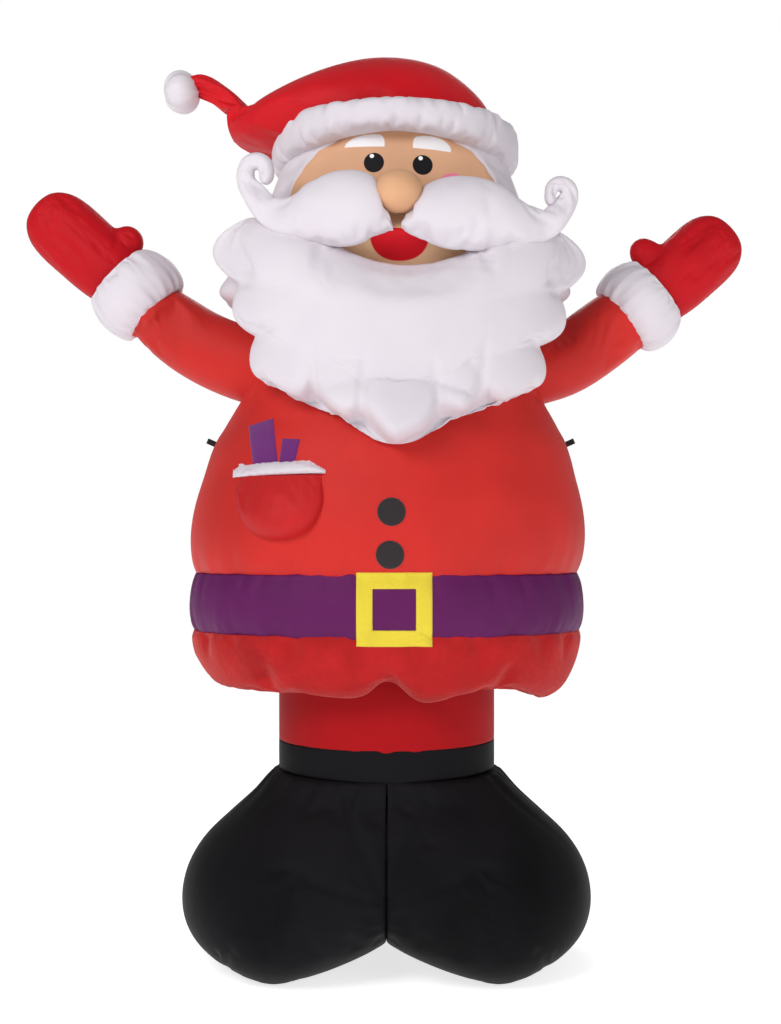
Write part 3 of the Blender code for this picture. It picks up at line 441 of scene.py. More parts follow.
# Each piece here, the slot it shows and the node it replaces
RIDES = (
    ("coat_body", "red_nylon", "coat"),
    ("belt_roll", "purple_nylon", "belt"),
    ("plush_skirt", "red_plush", "coat_skirt"),
    ("ankle_band", "black_nylon", "boot_band"),
    ("trouser_tube", "red_nylon", "trousers"),
    ("boot_body_right", "black_nylon", "boot_right"),
    ("boot_body_left", "black_nylon", "boot_left"),
    ("arm_right", "red_nylon", "sleeve_right"),
    ("cuff_puff_right", "white_nylon", "cuff_right"),
    ("hand_right", "red_nylon", "mitten_right"),
    ("arm_left", "red_nylon", "sleeve_left"),
    ("cuff_puff_left", "white_nylon", "cuff_left"),
    ("hand_left", "red_nylon", "mitten_left"),
    ("hair_panels", "white_nylon", "hair"),
    ("face_panel", "skin_nylon", "face"),
    ("beard_puffs", "white_nylon", "beard"),
    ("whisker_right", "white_nylon", "moustache_right"),
    ("whisker_left", "white_nylon", "moustache_left"),
    ("nose_ball", "skin_nylon", "nose"),
    ("hat_cone", "red_nylon", "hat"),
    ("hat_band_roll", "white_nylon", "hat_band"),
    ("pompom_ball", "white_nylon", "pompom"),
    ("pocket_pouch", "red_nylon", "pocket"),
    ("pocket_trim_roll", "white_nylon", "pocket_trim"),
    ("buckle_felt", "yellow_felt", "belt_buckle"),
    ("felt_upper", "button_felt", "button_upper"),
    ("felt_lower", "button_felt", "button_lower"),
    ("gift_stick_tall_felt", "purple_nylon", "gift_stick_tall"),
    ("gift_stick_short_felt", "purple_nylon", "gift_stick_short"),
)

# Grids of points, before the last smoothing: across or round, then along; the mittens' is a spacing
BELT_GRID = 0.017
BAND_GRID = 0.018
BOOT_GRID = (136, 52)
SLEEVE_GRID = (78, 50)
CUFF_GRID = (144, 24)
MITTEN_GRID = 0.010
HAND_GRID = (48, 36)
THUMB_GRID = (32, 20)
HAIR_GRID = (176, 38)
FACE_GRID = (46, 32)
BEARD_GRID = (100, 74)
MOUSTACHE_GRID = (38, 74)
NOSE_GRID = (48, 28)
HAT_GRID = (128, 84)
HAT_BAND_GRID = (290, 22)
POMPOM_GRID = (60, 26)
POCKET_GRID = (34, 26)
TRIM_GRID = (60, 14)

# How a piece is blown up: pressure, how much larger its cloth is cut than its pinned outline, how far
# a point may move, and the stiffness against bending
AIR = {
    "coat_body": (1.0, 0.022, 0.022, 0.4),
    "belt_roll": (1.2, 0.045, 0.014, 0.10),
    "plush_skirt": (0.8, 0.035, 0.016, 1.2),
    "ankle_band": (0.8, 0.02, 0.006, 0.15),
    "trouser_tube": (0.8, 0.02, 0.006, 0.15),
    "boot_body": (1.0, 0.025, 0.014, 0.3),
    "arm": (1.0, 0.050, 0.016, 0.12),
    "cuff_puff": (1.0, 0.08, 0.014, 0.06),
    "hand": (0.9, 0.045, 0.014, 0.12),
    "hair_panels": (1.0, 0.030, 0.018, 0.3),
    "face_panel": (1.0, 0.030, 0.016, 0.3),
    "beard_puffs": (1.1, 0.060, 0.022, 0.10),
    "whisker": (0.9, 0.050, 0.012, 0.12),
    "nose_ball": (0.8, 0.035, 0.006, 0.1),
    "hat_cone": (1.0, 0.040, 0.012, 0.15),
    "hat_band_roll": (1.0, 0.08, 0.012, 0.05),
    "pompom_ball": (0.9, 0.07, 0.008, 0.08),
    "pocket_pouch": (0.7, 0.05, 0.007, 0.1),
    "pocket_trim_roll": (0.7, 0.03, 0.004, 0.08),
}
# Gathers at a tube's end seams: fold height, how far they run, spacing, seed, and at which ends
BOTH, FIRST, LAST = (True, True), (True, False), (False, True)
GATHERS = {
    "coat_body": (0.006, 0.11, 0.050, 1, BOTH),
    "belt_roll": (0.006, 0.08, 0.045, 2, BOTH),
    "plush_skirt": (0.007, 0.13, 0.090, 3, FIRST),
    "ankle_band": (0.0006, 0.07, 0.060, 4, BOTH),
    "trouser_tube": (0.0006, 0.07, 0.060, 4, BOTH),
    "boot_body_right": (0.008, 0.16, 0.060, 4, LAST),
    "boot_body_left": (0.008, 0.16, 0.060, 6, LAST),
    "arm": (0.007, 0.15, 0.050, 11, LAST),
    "cuff_puff": (0.007, 0.09, 0.028, 12, BOTH),
    "hat_cone": (0.006, 0.10, 0.045, 13, BOTH),
    "pompom_ball": (0.009, 0.13, 0.032, 14, BOTH),
}
HAT_BAND_SEED = 15


def smooth_value(keys, t):
    """The value tuple at t on a smooth curve through keys, rows of (t, value, ...) with t rising."""
    rows = list(keys)
    if t <= rows[0][0]:
        return rows[0][1:]
    if t >= rows[-1][0]:
        return rows[-1][1:]
    i = next(n for n in range(len(rows) - 1) if t <= rows[n + 1][0])

    def slope(n, column):
        low, high = max(n - 1, 0), min(n + 1, len(rows) - 1)
        return (rows[high][column] - rows[low][column]) / (rows[high][0] - rows[low][0])

    span = rows[i + 1][0] - rows[i][0]
    s = (t - rows[i][0]) / span
    values = []
    for column in range(1, len(rows[0])):
        start, end = rows[i][column], rows[i + 1][column]
        values.append(
            start * (2 * s**3 - 3 * s**2 + 1)
            + slope(i, column) * span * (s**3 - 2 * s**2 + s)
            + end * (3 * s**2 - 2 * s**3)
            + slope(i + 1, column) * span * (s**3 - s**2)
        )
    return tuple(values)


def lean(z):
    share = min(max((z - BELT_TOP) / COAT_HEIGHT, 0.0), 1.0)
    return LOWER_X + (HEAD_X - LOWER_X) * share


def signed_power(value, power):
    return math.copysign(abs(value) ** power, value)


def level_ring(z, half_width, front, back, sides, squareness=2.0):
    power = 2.0 / squareness
    points = []
    for n in range(sides):
        turn = 2 * math.pi * n / sides - math.pi / 2
        depth = front if math.sin(turn) < 0 else back
        x = lean(z) + half_width * signed_power(math.cos(turn), power)
        points.append(Vector((x, depth * signed_power(math.sin(turn), power), z)))
    return points


def even_ring(points, sides):
    """The same closed outline with points spaced evenly along it."""
    loop = np.array([tuple(p) for p in points] + [tuple(points[0])])
    steps = np.linalg.norm(np.diff(loop, axis=0), axis=1)
    along = np.concatenate(([0.0], np.cumsum(steps)))
    wanted = np.linspace(0, along[-1], sides, endpoint=False)
    return [Vector([np.interp(w, along, loop[:, k]) for k in range(3)]) for w in wanted]


def make_mesh(name, points, faces, finish):
    mesh = bpy.data.meshes.new(name)
    mesh.from_pydata([tuple(Vector(p) + ORIGIN) for p in points], [], faces)
    shell = bmesh.new()
    shell.from_mesh(mesh)
    bmesh.ops.recalc_face_normals(shell, faces=shell.faces)
    if shell.calc_volume(signed=True) < 0:
        bmesh.ops.reverse_faces(shell, faces=shell.faces)
    shell.to_mesh(mesh)
    shell.free()
    mesh.materials.append(finish)
    mesh.shade_smooth()
    piece = bpy.data.objects.new(name, mesh)
    bpy.context.scene.collection.objects.link(piece)
    return piece


def loft(name, rings, finish, capped=(True, True)):
    """A tube through rings of equal counts; its ends are closed by rungs from side to side."""
    sides = len(rings[0])
    points = [p for ring in rings for p in ring]
    faces = []
    for r in range(len(rings) - 1):
        low, high = r * sides, (r + 1) * sides
        for n in range(sides):
            m = (n + 1) % sides
            faces.append((low + n, low + m, high + m, high + n))
    for cap, ring in zip(capped, (0, len(rings) - 1)):
        if cap:
            first = ring * sides
            faces.append((first, first + 1, first + sides - 1))
            for n in range(1, (sides - 1) // 2):
                faces.append((first + n, first + n + 1, first + sides - n - 1, first + sides - n))
            if sides % 2 == 0:
                half = first + sides // 2
                faces.append((half - 1, half, half + 1))
    piece = make_mesh(name, points, faces, finish)
    piece["sides"], piece["rings"] = sides, len(rings)
    return piece


def pin(piece, chosen):
    """Holds the chosen points still while the cloth blows up."""
    group = piece.vertex_groups.get("pin") or piece.vertex_groups.new(name="pin")
    group.add(list(chosen), 1.0, "REPLACE")


def pin_where(piece, chosen):
    pin(piece, np.flatnonzero(chosen).tolist())


def own_points(piece):
    """A piece's points in the figure's own frame."""
    return read_points(piece.data) - np.array(ORIGIN)


def read_normals(mesh):
    flat = np.empty(len(mesh.vertices) * 3)
    mesh.vertices.foreach_get("normal", flat)
    return flat.reshape(-1, 3)


def hold(piece, shares):
    """Keeps back the swelling beside a seam: 1 leaves a point where it was, 0 lets it go."""
    kept = HELD.get(piece.name, np.zeros(len(piece.data.vertices)))
    HELD[piece.name] = np.maximum(kept, shares)


def gather(piece, height, reach, spacing, seed, ends):
    """Fine folds that run from a loft's end seams out into the panel, before it is blown up."""
    sides, count = piece["sides"], piece["rings"]
    points = read_points(piece.data)
    grid = points[:sides * count].reshape(count, sides, 3)
    normals = read_normals(piece.data)[:sides * count].reshape(count, sides, 3)
    steps = np.linalg.norm(np.diff(grid, axis=0), axis=2)
    along = np.vstack([np.zeros(sides), np.cumsum(steps, axis=0)])
    around = np.linalg.norm(np.roll(grid, -1, axis=1) - grid, axis=2).sum(axis=1).max()
    folds = max(6, int(around / spacing))
    dice = np.random.default_rng(seed)
    for wanted, away in zip(ends, (along, along[-1] - along)):
        if not wanted:
            continue
        ups = dice.uniform(-1, 1, folds)
        runs = dice.uniform(0.5, 1.5, folds)
        slants = dice.uniform(-4, 4)
        turn = (np.arange(sides)[None, :] * folds / sides + away * slants) % folds
        whole = np.floor(turn).astype(int)
        share = 0.5 - 0.5 * np.cos(np.pi * (turn - whole))
        up = ups[whole % folds] * (1 - share) + ups[(whole + 1) % folds] * share
        run = reach * (runs[whole % folds] * (1 - share) + runs[(whole + 1) % folds] * share)
        lift = height * up * (away / run * 3) * np.exp(1 - away / run * 3)
        grid = grid + normals * lift[:, :, None]
    points[:sides * count] = grid.reshape(-1, 3)
    write_points(piece.data, points)


def ring_points(piece, *rings):
    """The point numbers of whole rings of a loft; -1 is the last ring."""
    sides, count = piece["sides"], piece["rings"]
    found = []
    for ring in rings:
        first = (ring % count) * sides
        found += range(first, first + sides)
    return found


def pin_ends(piece):
    pin(piece, ring_points(piece, 0, -1))


def kind_of(piece):
    return piece.name.removesuffix("_right").removesuffix("_left")


def sew(piece):
    """Gathers a piece at its seams and marks it to be blown up."""
    folds = GATHERS.get(piece.name) or GATHERS.get(kind_of(piece))
    if folds:
        gather(piece, *folds)
    pressure, grow, _, bending = AIR[kind_of(piece)]
    change = piece.modifiers.new("Cloth", "CLOTH")
    change.point_cache.frame_start = 1
    change.point_cache.frame_end = BLOW_UP_FRAMES
    settings = change.settings
    settings.quality = 4
    settings.time_scale = 1.0
    settings.mass = 0.25
    settings.air_damping = 3.0
    settings.tension_stiffness = CLOTH_STIFFNESS
    settings.compression_stiffness = CLOTH_STIFFNESS
    settings.shear_stiffness = CLOTH_STIFFNESS * 0.4
    settings.bending_stiffness = bending
    settings.tension_damping = CLOTH_DAMPING
    settings.compression_damping = CLOTH_DAMPING
    settings.shear_damping = CLOTH_DAMPING
    settings.use_pressure = True
    settings.uniform_pressure_force = pressure
    settings.shrink_min = -grow
    settings.effector_weights.gravity = 0.0
    settings.vertex_group_mass = "pin"
    settings.pin_stiffness = 1.0
    change.collision_settings.use_collision = False
    change.collision_settings.use_self_collision = False


def blow_up():
    """Runs the cloth of every marked piece at once and keeps the result in its mesh."""
    marked = [piece for piece in bpy.data.objects if "Cloth" in piece.modifiers]
    scene = bpy.context.scene
    for number in range(1, BLOW_UP_FRAMES + 1):
        scene.frame_set(number)
    graph = bpy.context.evaluated_depsgraph_get()
    for piece in marked:
        before = read_points(piece.data)
        swollen = piece.evaluated_get(graph).to_mesh()
        after = read_points(swollen)
        piece.evaluated_get(graph).to_mesh_clear()
        move = after - before
        far = np.linalg.norm(move, axis=1)
        limit = AIR[kind_of(piece)][2]
        bound = np.tanh(far / limit) * (1 - HELD.get(piece.name, 0.0))
        inward = read_normals(piece.data) * (limit * KEEP_SIZE * bound)[:, None]
        kept = limit * bound / np.maximum(far, 1e-9)
        write_points(piece.data, before + move * kept[:, None] - inward)
    for piece in marked:
        piece.modifiers.remove(piece.modifiers["Cloth"])
    scene.frame_set(1)
    return marked


def read_points(mesh):
    flat = np.empty(len(mesh.vertices) * 3)
    mesh.vertices.foreach_get("co", flat)
    return flat.reshape(-1, 3)


def write_points(mesh, points):
    mesh.vertices.foreach_set("co", points.reshape(-1))
    mesh.update()


def refine(piece):
    """Smooths the grid of the cloth into a fine surface."""
    change = piece.modifiers.new("Smooth", "SUBSURF")
    change.levels = 1
    change.render_levels = 1
    change.boundary_smooth = "PRESERVE_CORNERS"


def body_sides(half_width, half_depth, grid=CLOTH_GRID):
    around = math.pi * (half_width + half_depth)
    return int(around / grid)


def body_loft(name, profile, low, high, finish, grid=CLOTH_GRID):
    sides = body_sides(BODY_HALF_WIDTH, (BODY_FRONT + BODY_BACK) / 2, grid)
    steps = max(6, int((high - low) / grid))
    rings = []
    for n in range(-1, steps + 2):
        width, front, back = smooth_value(profile, n / steps)
        z = low + (high - low) * n / steps
        z = min(max(z, low - SEAM_LAP), high + SEAM_LAP)
        ring = level_ring(
            z, BODY_HALF_WIDTH * width, BODY_FRONT * front, BODY_BACK * back, 2 * sides, SQUARENESS
        )
        rings.append(even_ring(ring, sides))
    return loft(name, rings, finish)


def coat_front(x, z):
    share = (z - BELT_TOP) / COAT_HEIGHT
    width, front, _ = smooth_value(COAT_PROFILE, share)
    across = min(abs(x - lean(z)) / (BODY_HALF_WIDTH * width), 1.0)
    return -BODY_FRONT * front * (1 - across**SQUARENESS) ** (1 / SQUARENESS)


def make_coat(finish):
    coat = body_loft("coat_body", COAT_PROFILE, BELT_TOP, NECK, finish)
    pin_ends(coat)
    points = own_points(coat)
    for path in (ARM_RIGHT, ARM_LEFT):
        pin_where(coat, near_path(points, path, ARM_RADIUS, SEAM_REACH))
    for side in (-1, 1):
        width, _, _ = smooth_value(COAT_PROFILE, LOOP_HEIGHT / COAT_HEIGHT)
        z = BELT_TOP + LOOP_HEIGHT
        root = np.array((lean(z) + side * BODY_HALF_WIDTH * width, 0, z))
        pin_where(coat, np.linalg.norm(points - root, axis=1) < LOOP_REACH)
    for x, z in pocket_outline(40):
        spot = np.array((x, coat_front(x, z), z))
        pin_where(coat, np.linalg.norm(points - spot, axis=1) < SEAM_REACH)
    sew(coat)
    return coat


def near_path(points, path, radius, within):
    """True for the points whose distance from an arm's middle line is about its radius."""
    line = []
    steps = 24
    for n in range(steps + 1):
        here, _ = path_point(path, n / steps)
        line.append((here.x + HEAD_X, 0.0, here.y + NECK))
    line = np.array(line)
    far = np.linalg.norm(points[:, None, :] - line[None, :, :], axis=2).min(axis=1)
    return np.abs(far - radius) < within


def make_belt(finish):
    belt = body_loft("belt_roll", BELT_PROFILE, BELT_LOW, BELT_TOP, finish, BELT_GRID)
    pin_ends(belt)
    sew(belt)
    return belt


def hem_lift(point):
    angle = math.degrees(math.atan2(point.x - LOWER_X, -point.y))
    return sum(lift * math.exp(-(((angle - at) / wide) ** 2)) for at, lift, wide in HEM_FOLDS)


def make_skirt(finish):
    """The plush skirt: down its outside, round the hem and up to the trousers."""
    sides = body_sides(BODY_HALF_WIDTH, (BODY_FRONT + BODY_BACK) / 2)
    rings = []
    rows = [(n, *row[1:]) for n, row in enumerate(SKIRT_PROFILE)]
    heights = [(n, row[0]) for n, row in enumerate(SKIRT_PROFILE)]
    for n in range(SKIRT_STEPS + 1):
        place = (len(rows) - 1) * n / SKIRT_STEPS
        width, front, back = smooth_value(rows, place)
        (share,) = smooth_value(heights, place)
        ring = level_ring(
            HEM + SKIRT_HEIGHT * share,
            BODY_HALF_WIDTH * width,
            BODY_FRONT * front,
            BODY_BACK * back,
            2 * sides,
            SQUARENESS,
        )
        ring = even_ring(ring, sides)
        for point in ring:
            point.z += hem_lift(point) * max(0.0, 1 - share / HEM_FADE)
        rings.append(ring)
    rings.insert(0, [point + Vector((0, 0, SEAM_LAP)) for point in rings[0]])
    edge = rings[-1]
    wide, deep = LEG_HALF_WIDTH + LEG_GAP, LEG_HALF_DEPTH + LEG_GAP
    for n in range(1, TUCK_STEPS + 1):
        s = n / TUCK_STEPS
        height = HEM + SKIRT_HEIGHT * (TUCK_LOW + TUCK_RISE * s)
        inner = even_ring(level_ring(height, wide, deep, deep, 2 * sides), sides)
        ring = []
        for a, b in zip(edge, inner):
            point = a.lerp(b, s)
            sag = TUCK_BULGE * math.sin(math.pi * s)
            point.z = a.z * (1 - s) + (b.z + 0.5 * hem_lift(a)) * s + sag
            ring.append(point)
        rings.append(ring)
    skirt = loft("plush_skirt", rings, finish, (True, False))
    pin_ends(skirt)
    points = own_points(skirt)
    row = np.degrees(np.arctan2(points[:, 0] - LOWER_X, -points[:, 1]))
    for at, _, _ in HEM_FOLDS:
        pin_where(skirt, (np.abs(row - at) < 1.2) & (points[:, 2] < HEM + 0.03))
    sew(skirt)
    return skirt


def make_leg(name, low, high, finish, grid=CLOTH_GRID):
    sides = body_sides(LEG_HALF_WIDTH, LEG_HALF_DEPTH, grid)
    steps = max(5, int((high - low) / grid))
    rings = []
    for n in range(-1, steps + 2):
        z = low + (high - low) * n / steps
        z = min(max(z, low - SEAM_LAP), high + SEAM_LAP)
        rings.append(level_ring(z, LEG_HALF_WIDTH, LEG_HALF_DEPTH, LEG_HALF_DEPTH, sides))
    piece = loft(name, rings, finish)
    pin_ends(piece)
    sew(piece)
    return piece


def boot_ring(side, share, sides):
    outer, inner, toe, heel = smooth_value(BOOT_PROFILE, share)
    far = BOOT_OUTER * outer
    near = far * inner
    middle, half = (far + near) / 2, (far - near) / 2
    front, back = BOOT_TOE * toe, BOOT_HEEL * heel
    ring = []
    for n in range(4 * sides):
        turn = 2 * math.pi * n / (4 * sides) - math.pi / 2
        reach = back if math.sin(turn) > 0 else front
        x = max(middle + half * signed_power(math.cos(turn), BOOT_POWER), 0.0)
        y = reach * signed_power(math.sin(turn), BOOT_POWER)
        ring.append(Vector((LOWER_X + side * x, y, BAND_LOW * share)))
    return even_ring(ring, sides)


def make_boot(name, side, finish):
    sides, steps = BOOT_GRID
    rings = [boot_ring(side, (n / steps) ** 1.25, sides) for n in range(steps + 1)]
    boot = loft(name, rings, finish)
    pin_ends(boot)
    points = own_points(boot)
    pin_where(boot, np.abs(points[:, 0] - LOWER_X) < 0.004)
    front = points[:, 1] < BOOT_FRONT
    moved = points.copy()
    for seam in BOOT_SEAMS:
        line = np.array([(LOWER_X + side * out, up) for out, up in seam])
        dense = np.array([
            [np.interp(t, np.linspace(0, 1, len(line)), line[:, k]) for k in (0, 1)]
            for t in np.linspace(0, 1, 80)
        ])
        flat = points[:, (0, 2)]
        far = np.linalg.norm(flat[:, None, :] - dense[None, :, :], axis=2).min(axis=1)
        moved[:, 1] += BOOT_SEAM_DEPTH * np.exp(-((far / BOOT_SEAM_WIDTH) ** 2)) * front
        hold(boot, np.exp(-((far / BOOT_SEAM_HOLD) ** 2)) * front)
        pin_where(boot, (far < BOOT_SEAM_PIN) & front)
    write_points(boot.data, moved + np.array(ORIGIN))
    sew(boot)
    return boot


def section(centre, across, half_across, half_depth, sides):
    direction = across.normalized()
    points = []
    for n in range(sides):
        turn = 2 * math.pi * n / sides
        aside = direction * (half_across * math.cos(turn))
        points.append(centre + aside + Vector((0, half_depth * math.sin(turn), 0)))
    return points


def path_point(path, share):
    rows = [(n / (len(path) - 1), *path[n]) for n in range(len(path))]
    step = 0.02
    here = Vector(smooth_value(rows, share))
    before = Vector(smooth_value(rows, max(share - step, 0.0)))
    after = Vector(smooth_value(rows, min(share + step, 1.0)))
    return here, (after - before).normalized()


def make_sleeve(name, path, reach, finish):
    sides, steps = SLEEVE_GRID
    end_way = Vector(reach).normalized()
    rings = []
    for n in range(steps + 1):
        share = n / steps
        here, direction = path_point(path, share)
        direction = direction.lerp(end_way, max(0.0, share * 4 - 3))
        centre = Vector((here.x + HEAD_X, 0, here.y + NECK))
        across = Vector((-direction.y, 0, direction.x))
        radius = ARM_RADIUS + (SLEEVE_END_RADIUS - ARM_RADIUS) * share
        rings.append(section(centre, across, radius, radius, sides))
    along = Vector((end_way.x, 0, end_way.y)) * CUFF_LAP
    rings.append([point + along for point in rings[-1]])
    sleeve = loft(name, rings, finish)
    pin_ends(sleeve)
    sew(sleeve)
    return sleeve


def reach_axes(reach):
    """An arm part's reach as a vector, and the direction across it."""
    direction = Vector((reach[0], 0, reach[1]))
    along = direction.normalized()
    return direction, Vector((-along.z, 0, along.x))


def arm_end(path):
    end, _ = path_point(path, 1.0)
    return Vector((end.x + HEAD_X, 0, end.y + NECK))


def make_cuff(name, start, reach, finish):
    direction, across = reach_axes(reach)
    sides, steps = CUFF_GRID
    rings = []
    for n in range(steps + 1):
        share = 0.5 - 0.5 * math.cos(math.pi * n / steps)
        rim = SLEEVE_END_RADIUS + (CUFF_RIM_RADIUS - SLEEVE_END_RADIUS) * share
        radius = rim + (CUFF_RADIUS - rim) * math.sin(math.pi * share) ** 0.55
        centre = start + direction * share
        rings.append(section(centre, across, radius, radius * CUFF_FLATNESS, sides))
    cuff = loft(name, rings, finish)
    pin_ends(cuff)
    pin(cuff, ring_points(cuff, 1, -2))
    sew(cuff)
    return cuff


def applied(piece):
    """The mesh of a piece with its modifiers, which are then removed."""
    graph = bpy.context.evaluated_depsgraph_get()
    piece.data = bpy.data.meshes.new_from_object(piece.evaluated_get(graph))
    piece.modifiers.clear()
    return piece.data


def voxel_join(name, pieces, voxel, finish):
    """One even grid of cloth over several shapes that run into each other."""
    joined = bpy.data.meshes.new(name)
    shell = bmesh.new()
    for piece in pieces:
        shell.from_mesh(piece.data)
    shell.to_mesh(joined)
    shell.free()
    for piece in pieces:
        bpy.data.objects.remove(piece)
    made = bpy.data.objects.new(name, joined)
    bpy.context.scene.collection.objects.link(made)
    change = made.modifiers.new("Remesh", "REMESH")
    change.mode = "VOXEL"
    change.voxel_size = voxel
    mesh = applied(made)
    mesh.materials.clear()
    mesh.materials.append(finish)
    mesh.shade_smooth()
    smooth = made.modifiers.new("Even", "SMOOTH")
    smooth.factor = 0.5
    smooth.iterations = 4
    applied(made)
    return made


def make_mitten(name, wrist, reach, thumb, finish):
    """A hand and its thumb, sewn in one."""
    direction, across = reach_axes(reach)
    sides, steps = HAND_GRID
    rings = []
    for n in range(steps + 1):
        share = -WRIST_LAP + (1 + WRIST_LAP) * math.sin(math.pi / 2 * n / steps)
        (wide,) = smooth_value(MITTEN_SHAPE, share)
        half_depth = MITTEN_HALF_DEPTH * wide**1.1
        centre = wrist + direction * share
        rings.append(section(centre, across, MITTEN_HALF_WIDTH * wide, half_depth, sides))
    hand = loft(name + "_hand", rings, finish)
    start, tip, thick, thin = thumb
    root = wrist + Vector((start[0], 0, start[1]))
    way = Vector((tip[0] - start[0], 0, tip[1] - start[1]))
    side = Vector((-way.z, 0, way.x))
    sides, steps = THUMB_GRID
    rings = []
    for n in range(steps + 1):
        share = math.sin(math.pi / 2 * n / steps)
        wide = math.sqrt(max(1 - share**6, 0.002))
        radius = (thick + (thin - thick) * share) * wide
        rings.append(section(root + way * share, side, radius, radius * THUMB_FLATNESS, sides))
    stub = loft(name + "_thumb", rings, finish)
    mitten = voxel_join(name, [hand, stub], MITTEN_GRID, finish)
    points = own_points(mitten)
    pin_where(mitten, (points - np.array(wrist)) @ np.array(direction.normalized()) < 0.012)
    hold(mitten, np.exp(-((points[:, 1] / MITTEN_SEAM_WIDTH) ** 2)))
    sew(mitten)
    return mitten


def head_ring(share, z, sides):
    """The hair ends in round locks below, behind the ears."""
    width, front, back = smooth_value(HEAD_PROFILE, share)
    ring = level_ring(
        z, HAIR_HALF_WIDTH * width, FACE_FRONT * front, HAIR_BACK * back, sides, HEAD_SQUARENESS
    )
    for n, point in enumerate(ring):
        turn = 2 * math.pi * n / sides
        behind = min(max(0.0, -math.cos(turn) * 1.5 + 0.75), 1.0)
        low = max(0.0, 1 - share / 0.5)
        parting = (1 - abs(math.sin(LOCKS * turn / 2))) ** 1.6
        pull = LOCK_DEPTH * parting * behind * low
        middle = Vector((lean(z), 0, z))
        ring[n] = middle + (point - middle) * (1 - pull)
    return ring


def head_front(x, z):
    share = (z - NECK) / HEAD_HEIGHT
    width, front, _ = smooth_value(HEAD_PROFILE, share)
    across = min(abs(x - HEAD_X) / (HAIR_HALF_WIDTH * width), 1.0)
    return -FACE_FRONT * front * (1 - across**HEAD_SQUARENESS) ** (1 / HEAD_SQUARENESS)


def make_hair(finish):
    """White cloth all round the head, sunk where the face panel is sewn in."""
    sides, steps = HAIR_GRID
    rings = []
    for n in range(-1, steps + 2):
        share = n / steps
        z = min(max(NECK + HEAD_HEIGHT * share, NECK - SEAM_LAP), HAT_SEAM + SEAM_LAP)
        rings.append(head_ring(share, z, sides))
    hair = loft("hair_panels", rings, finish)
    pin_ends(hair)
    points = own_points(hair)
    x = (points[:, 0] - HEAD_X) / FACE_HALF_WIDTH
    z = points[:, 2] - NECK - FACE_HEIGHT
    z /= np.where(z > 0, FACE_RISE, FACE_HALF_HEIGHT)
    reach = (np.abs(x) ** FACE_SQUARENESS + np.abs(z) ** FACE_SQUARENESS) ** (1 / FACE_SQUARENESS)
    front = points[:, 1] < 0
    inside = np.clip((1.01 - reach) / 0.06, 0, 1) * front
    points[:, 1] += FACE_SUNK * inside
    write_points(hair.data, points + np.array(ORIGIN))
    pin_where(hair, inside > 0)
    hold(hair, np.exp(-((np.maximum(reach - 1, 0) / 0.05) ** 2)) * front)
    turn = np.degrees(np.arctan2(points[:, 0] - HEAD_X, -points[:, 1]))
    for n in range(LOCKS):
        parting = (n * 360 / LOCKS + 180) % 360 - 180
        if abs(parting) > 60:
            near = np.abs((turn - parting + 180) % 360 - 180) < 1.5
            pin_where(hair, near & (points[:, 2] < NECK + LOCK_HEIGHT * HEAD_HEIGHT))
    sew(hair)
    return hair


def make_face(finish):
    """The skin-coloured panel, sewn in along an oval that runs up under the hat."""
    top = min(HEAD_HEIGHT + FACE_LAP, FACE_HEIGHT + FACE_RISE)
    columns, rows = FACE_GRID

    def place(i, j):
        height = FACE_HEIGHT - FACE_HALF_HEIGHT * math.cos(math.pi / 2 * j / rows)
        height += (top - FACE_HEIGHT) * j / rows
        away = (height - FACE_HEIGHT) / (FACE_RISE if height > FACE_HEIGHT else -FACE_HALF_HEIGHT)
        half = FACE_HALF_WIDTH * max(1 - away**FACE_SQUARENESS, 0.0004) ** (1 / FACE_SQUARENESS)
        x = HEAD_X + half * arched(i, columns)
        z = NECK + height
        seat = head_front(x, z)
        up, aside = (height - CHIN_HEIGHT) / CHIN_HALF_HEIGHT, (x - HEAD_X) / CHIN_HALF_WIDTH
        seat -= CHIN_REACH * math.exp(-(up**2 + aside**2))
        tucked = max(0.0, 1 - min(i, columns - i, j) / 2)
        return x, z, seat + 0.007 * tucked, seat + FACE_THICKNESS

    face, border = make_sheet("face_panel", FACE_GRID, place, finish)
    front = (columns + 1) * (rows + 1)
    pin(face, border + list(range(front, len(face.data.vertices))))
    sew(face)
    return face


def bowed(start, end, bow, share):
    line = end - start
    out = Vector((-line.y, line.x)).normalized()
    return start + line * share + out * (bow * 4 * share * (1 - share))


def side_point(side, share):
    corners = BEARD_SIDES[side]
    following = BEARD_SIDES[(side + 1) % 4][0]
    ends = [Vector(corner) for corner, _ in corners] + [Vector(following[0])]
    place = min(share, 0.999999) * len(corners)
    n = int(place)
    return bowed(ends[n + 1], ends[n], corners[n][1], 1 - (place - n))


def beard_outline(u, v):
    right, bottom = side_point(0, v), side_point(1, u)
    left, top = side_point(2, 1 - v), side_point(3, 1 - u)
    corner = [Vector(BEARD_SIDES[n][0][0]) for n in range(4)]
    blend = right * (1 - u) + left * u + top * (1 - v) + bottom * v
    flat = (corner[0] * (1 - u) + corner[3] * u) * (1 - v) + (corner[1] * (1 - u) + corner[2] * u) * v
    return blend - flat


def pillow(share, softness):
    return max(0.0, 1 - abs(2 * share - 1) ** softness) ** 0.55


def channel_depth(x, z, width):
    """How deep in a channel between two puffs the place is, from 0 to 1."""
    deepest = 0.0
    for bottom_x, top_x, rise in BEARD_CHANNELS:
        up = (z - BEARD_LOWEST) / (rise * BEARD_HEIGHT) - CHANNEL_START
        if up > 1:
            continue
        up = max(up, 0.0)
        line = bottom_x + (top_x - bottom_x) * up
        groove = math.exp(-(((x - line) / width) ** 2)) * (1 - up**2)
        deepest = max(deepest, groove)
    return deepest


def arched(n, count):
    """From -1 to 1 in even steps round half a circle."""
    return math.sin(math.pi / 2 * (2 * n / count - 1))


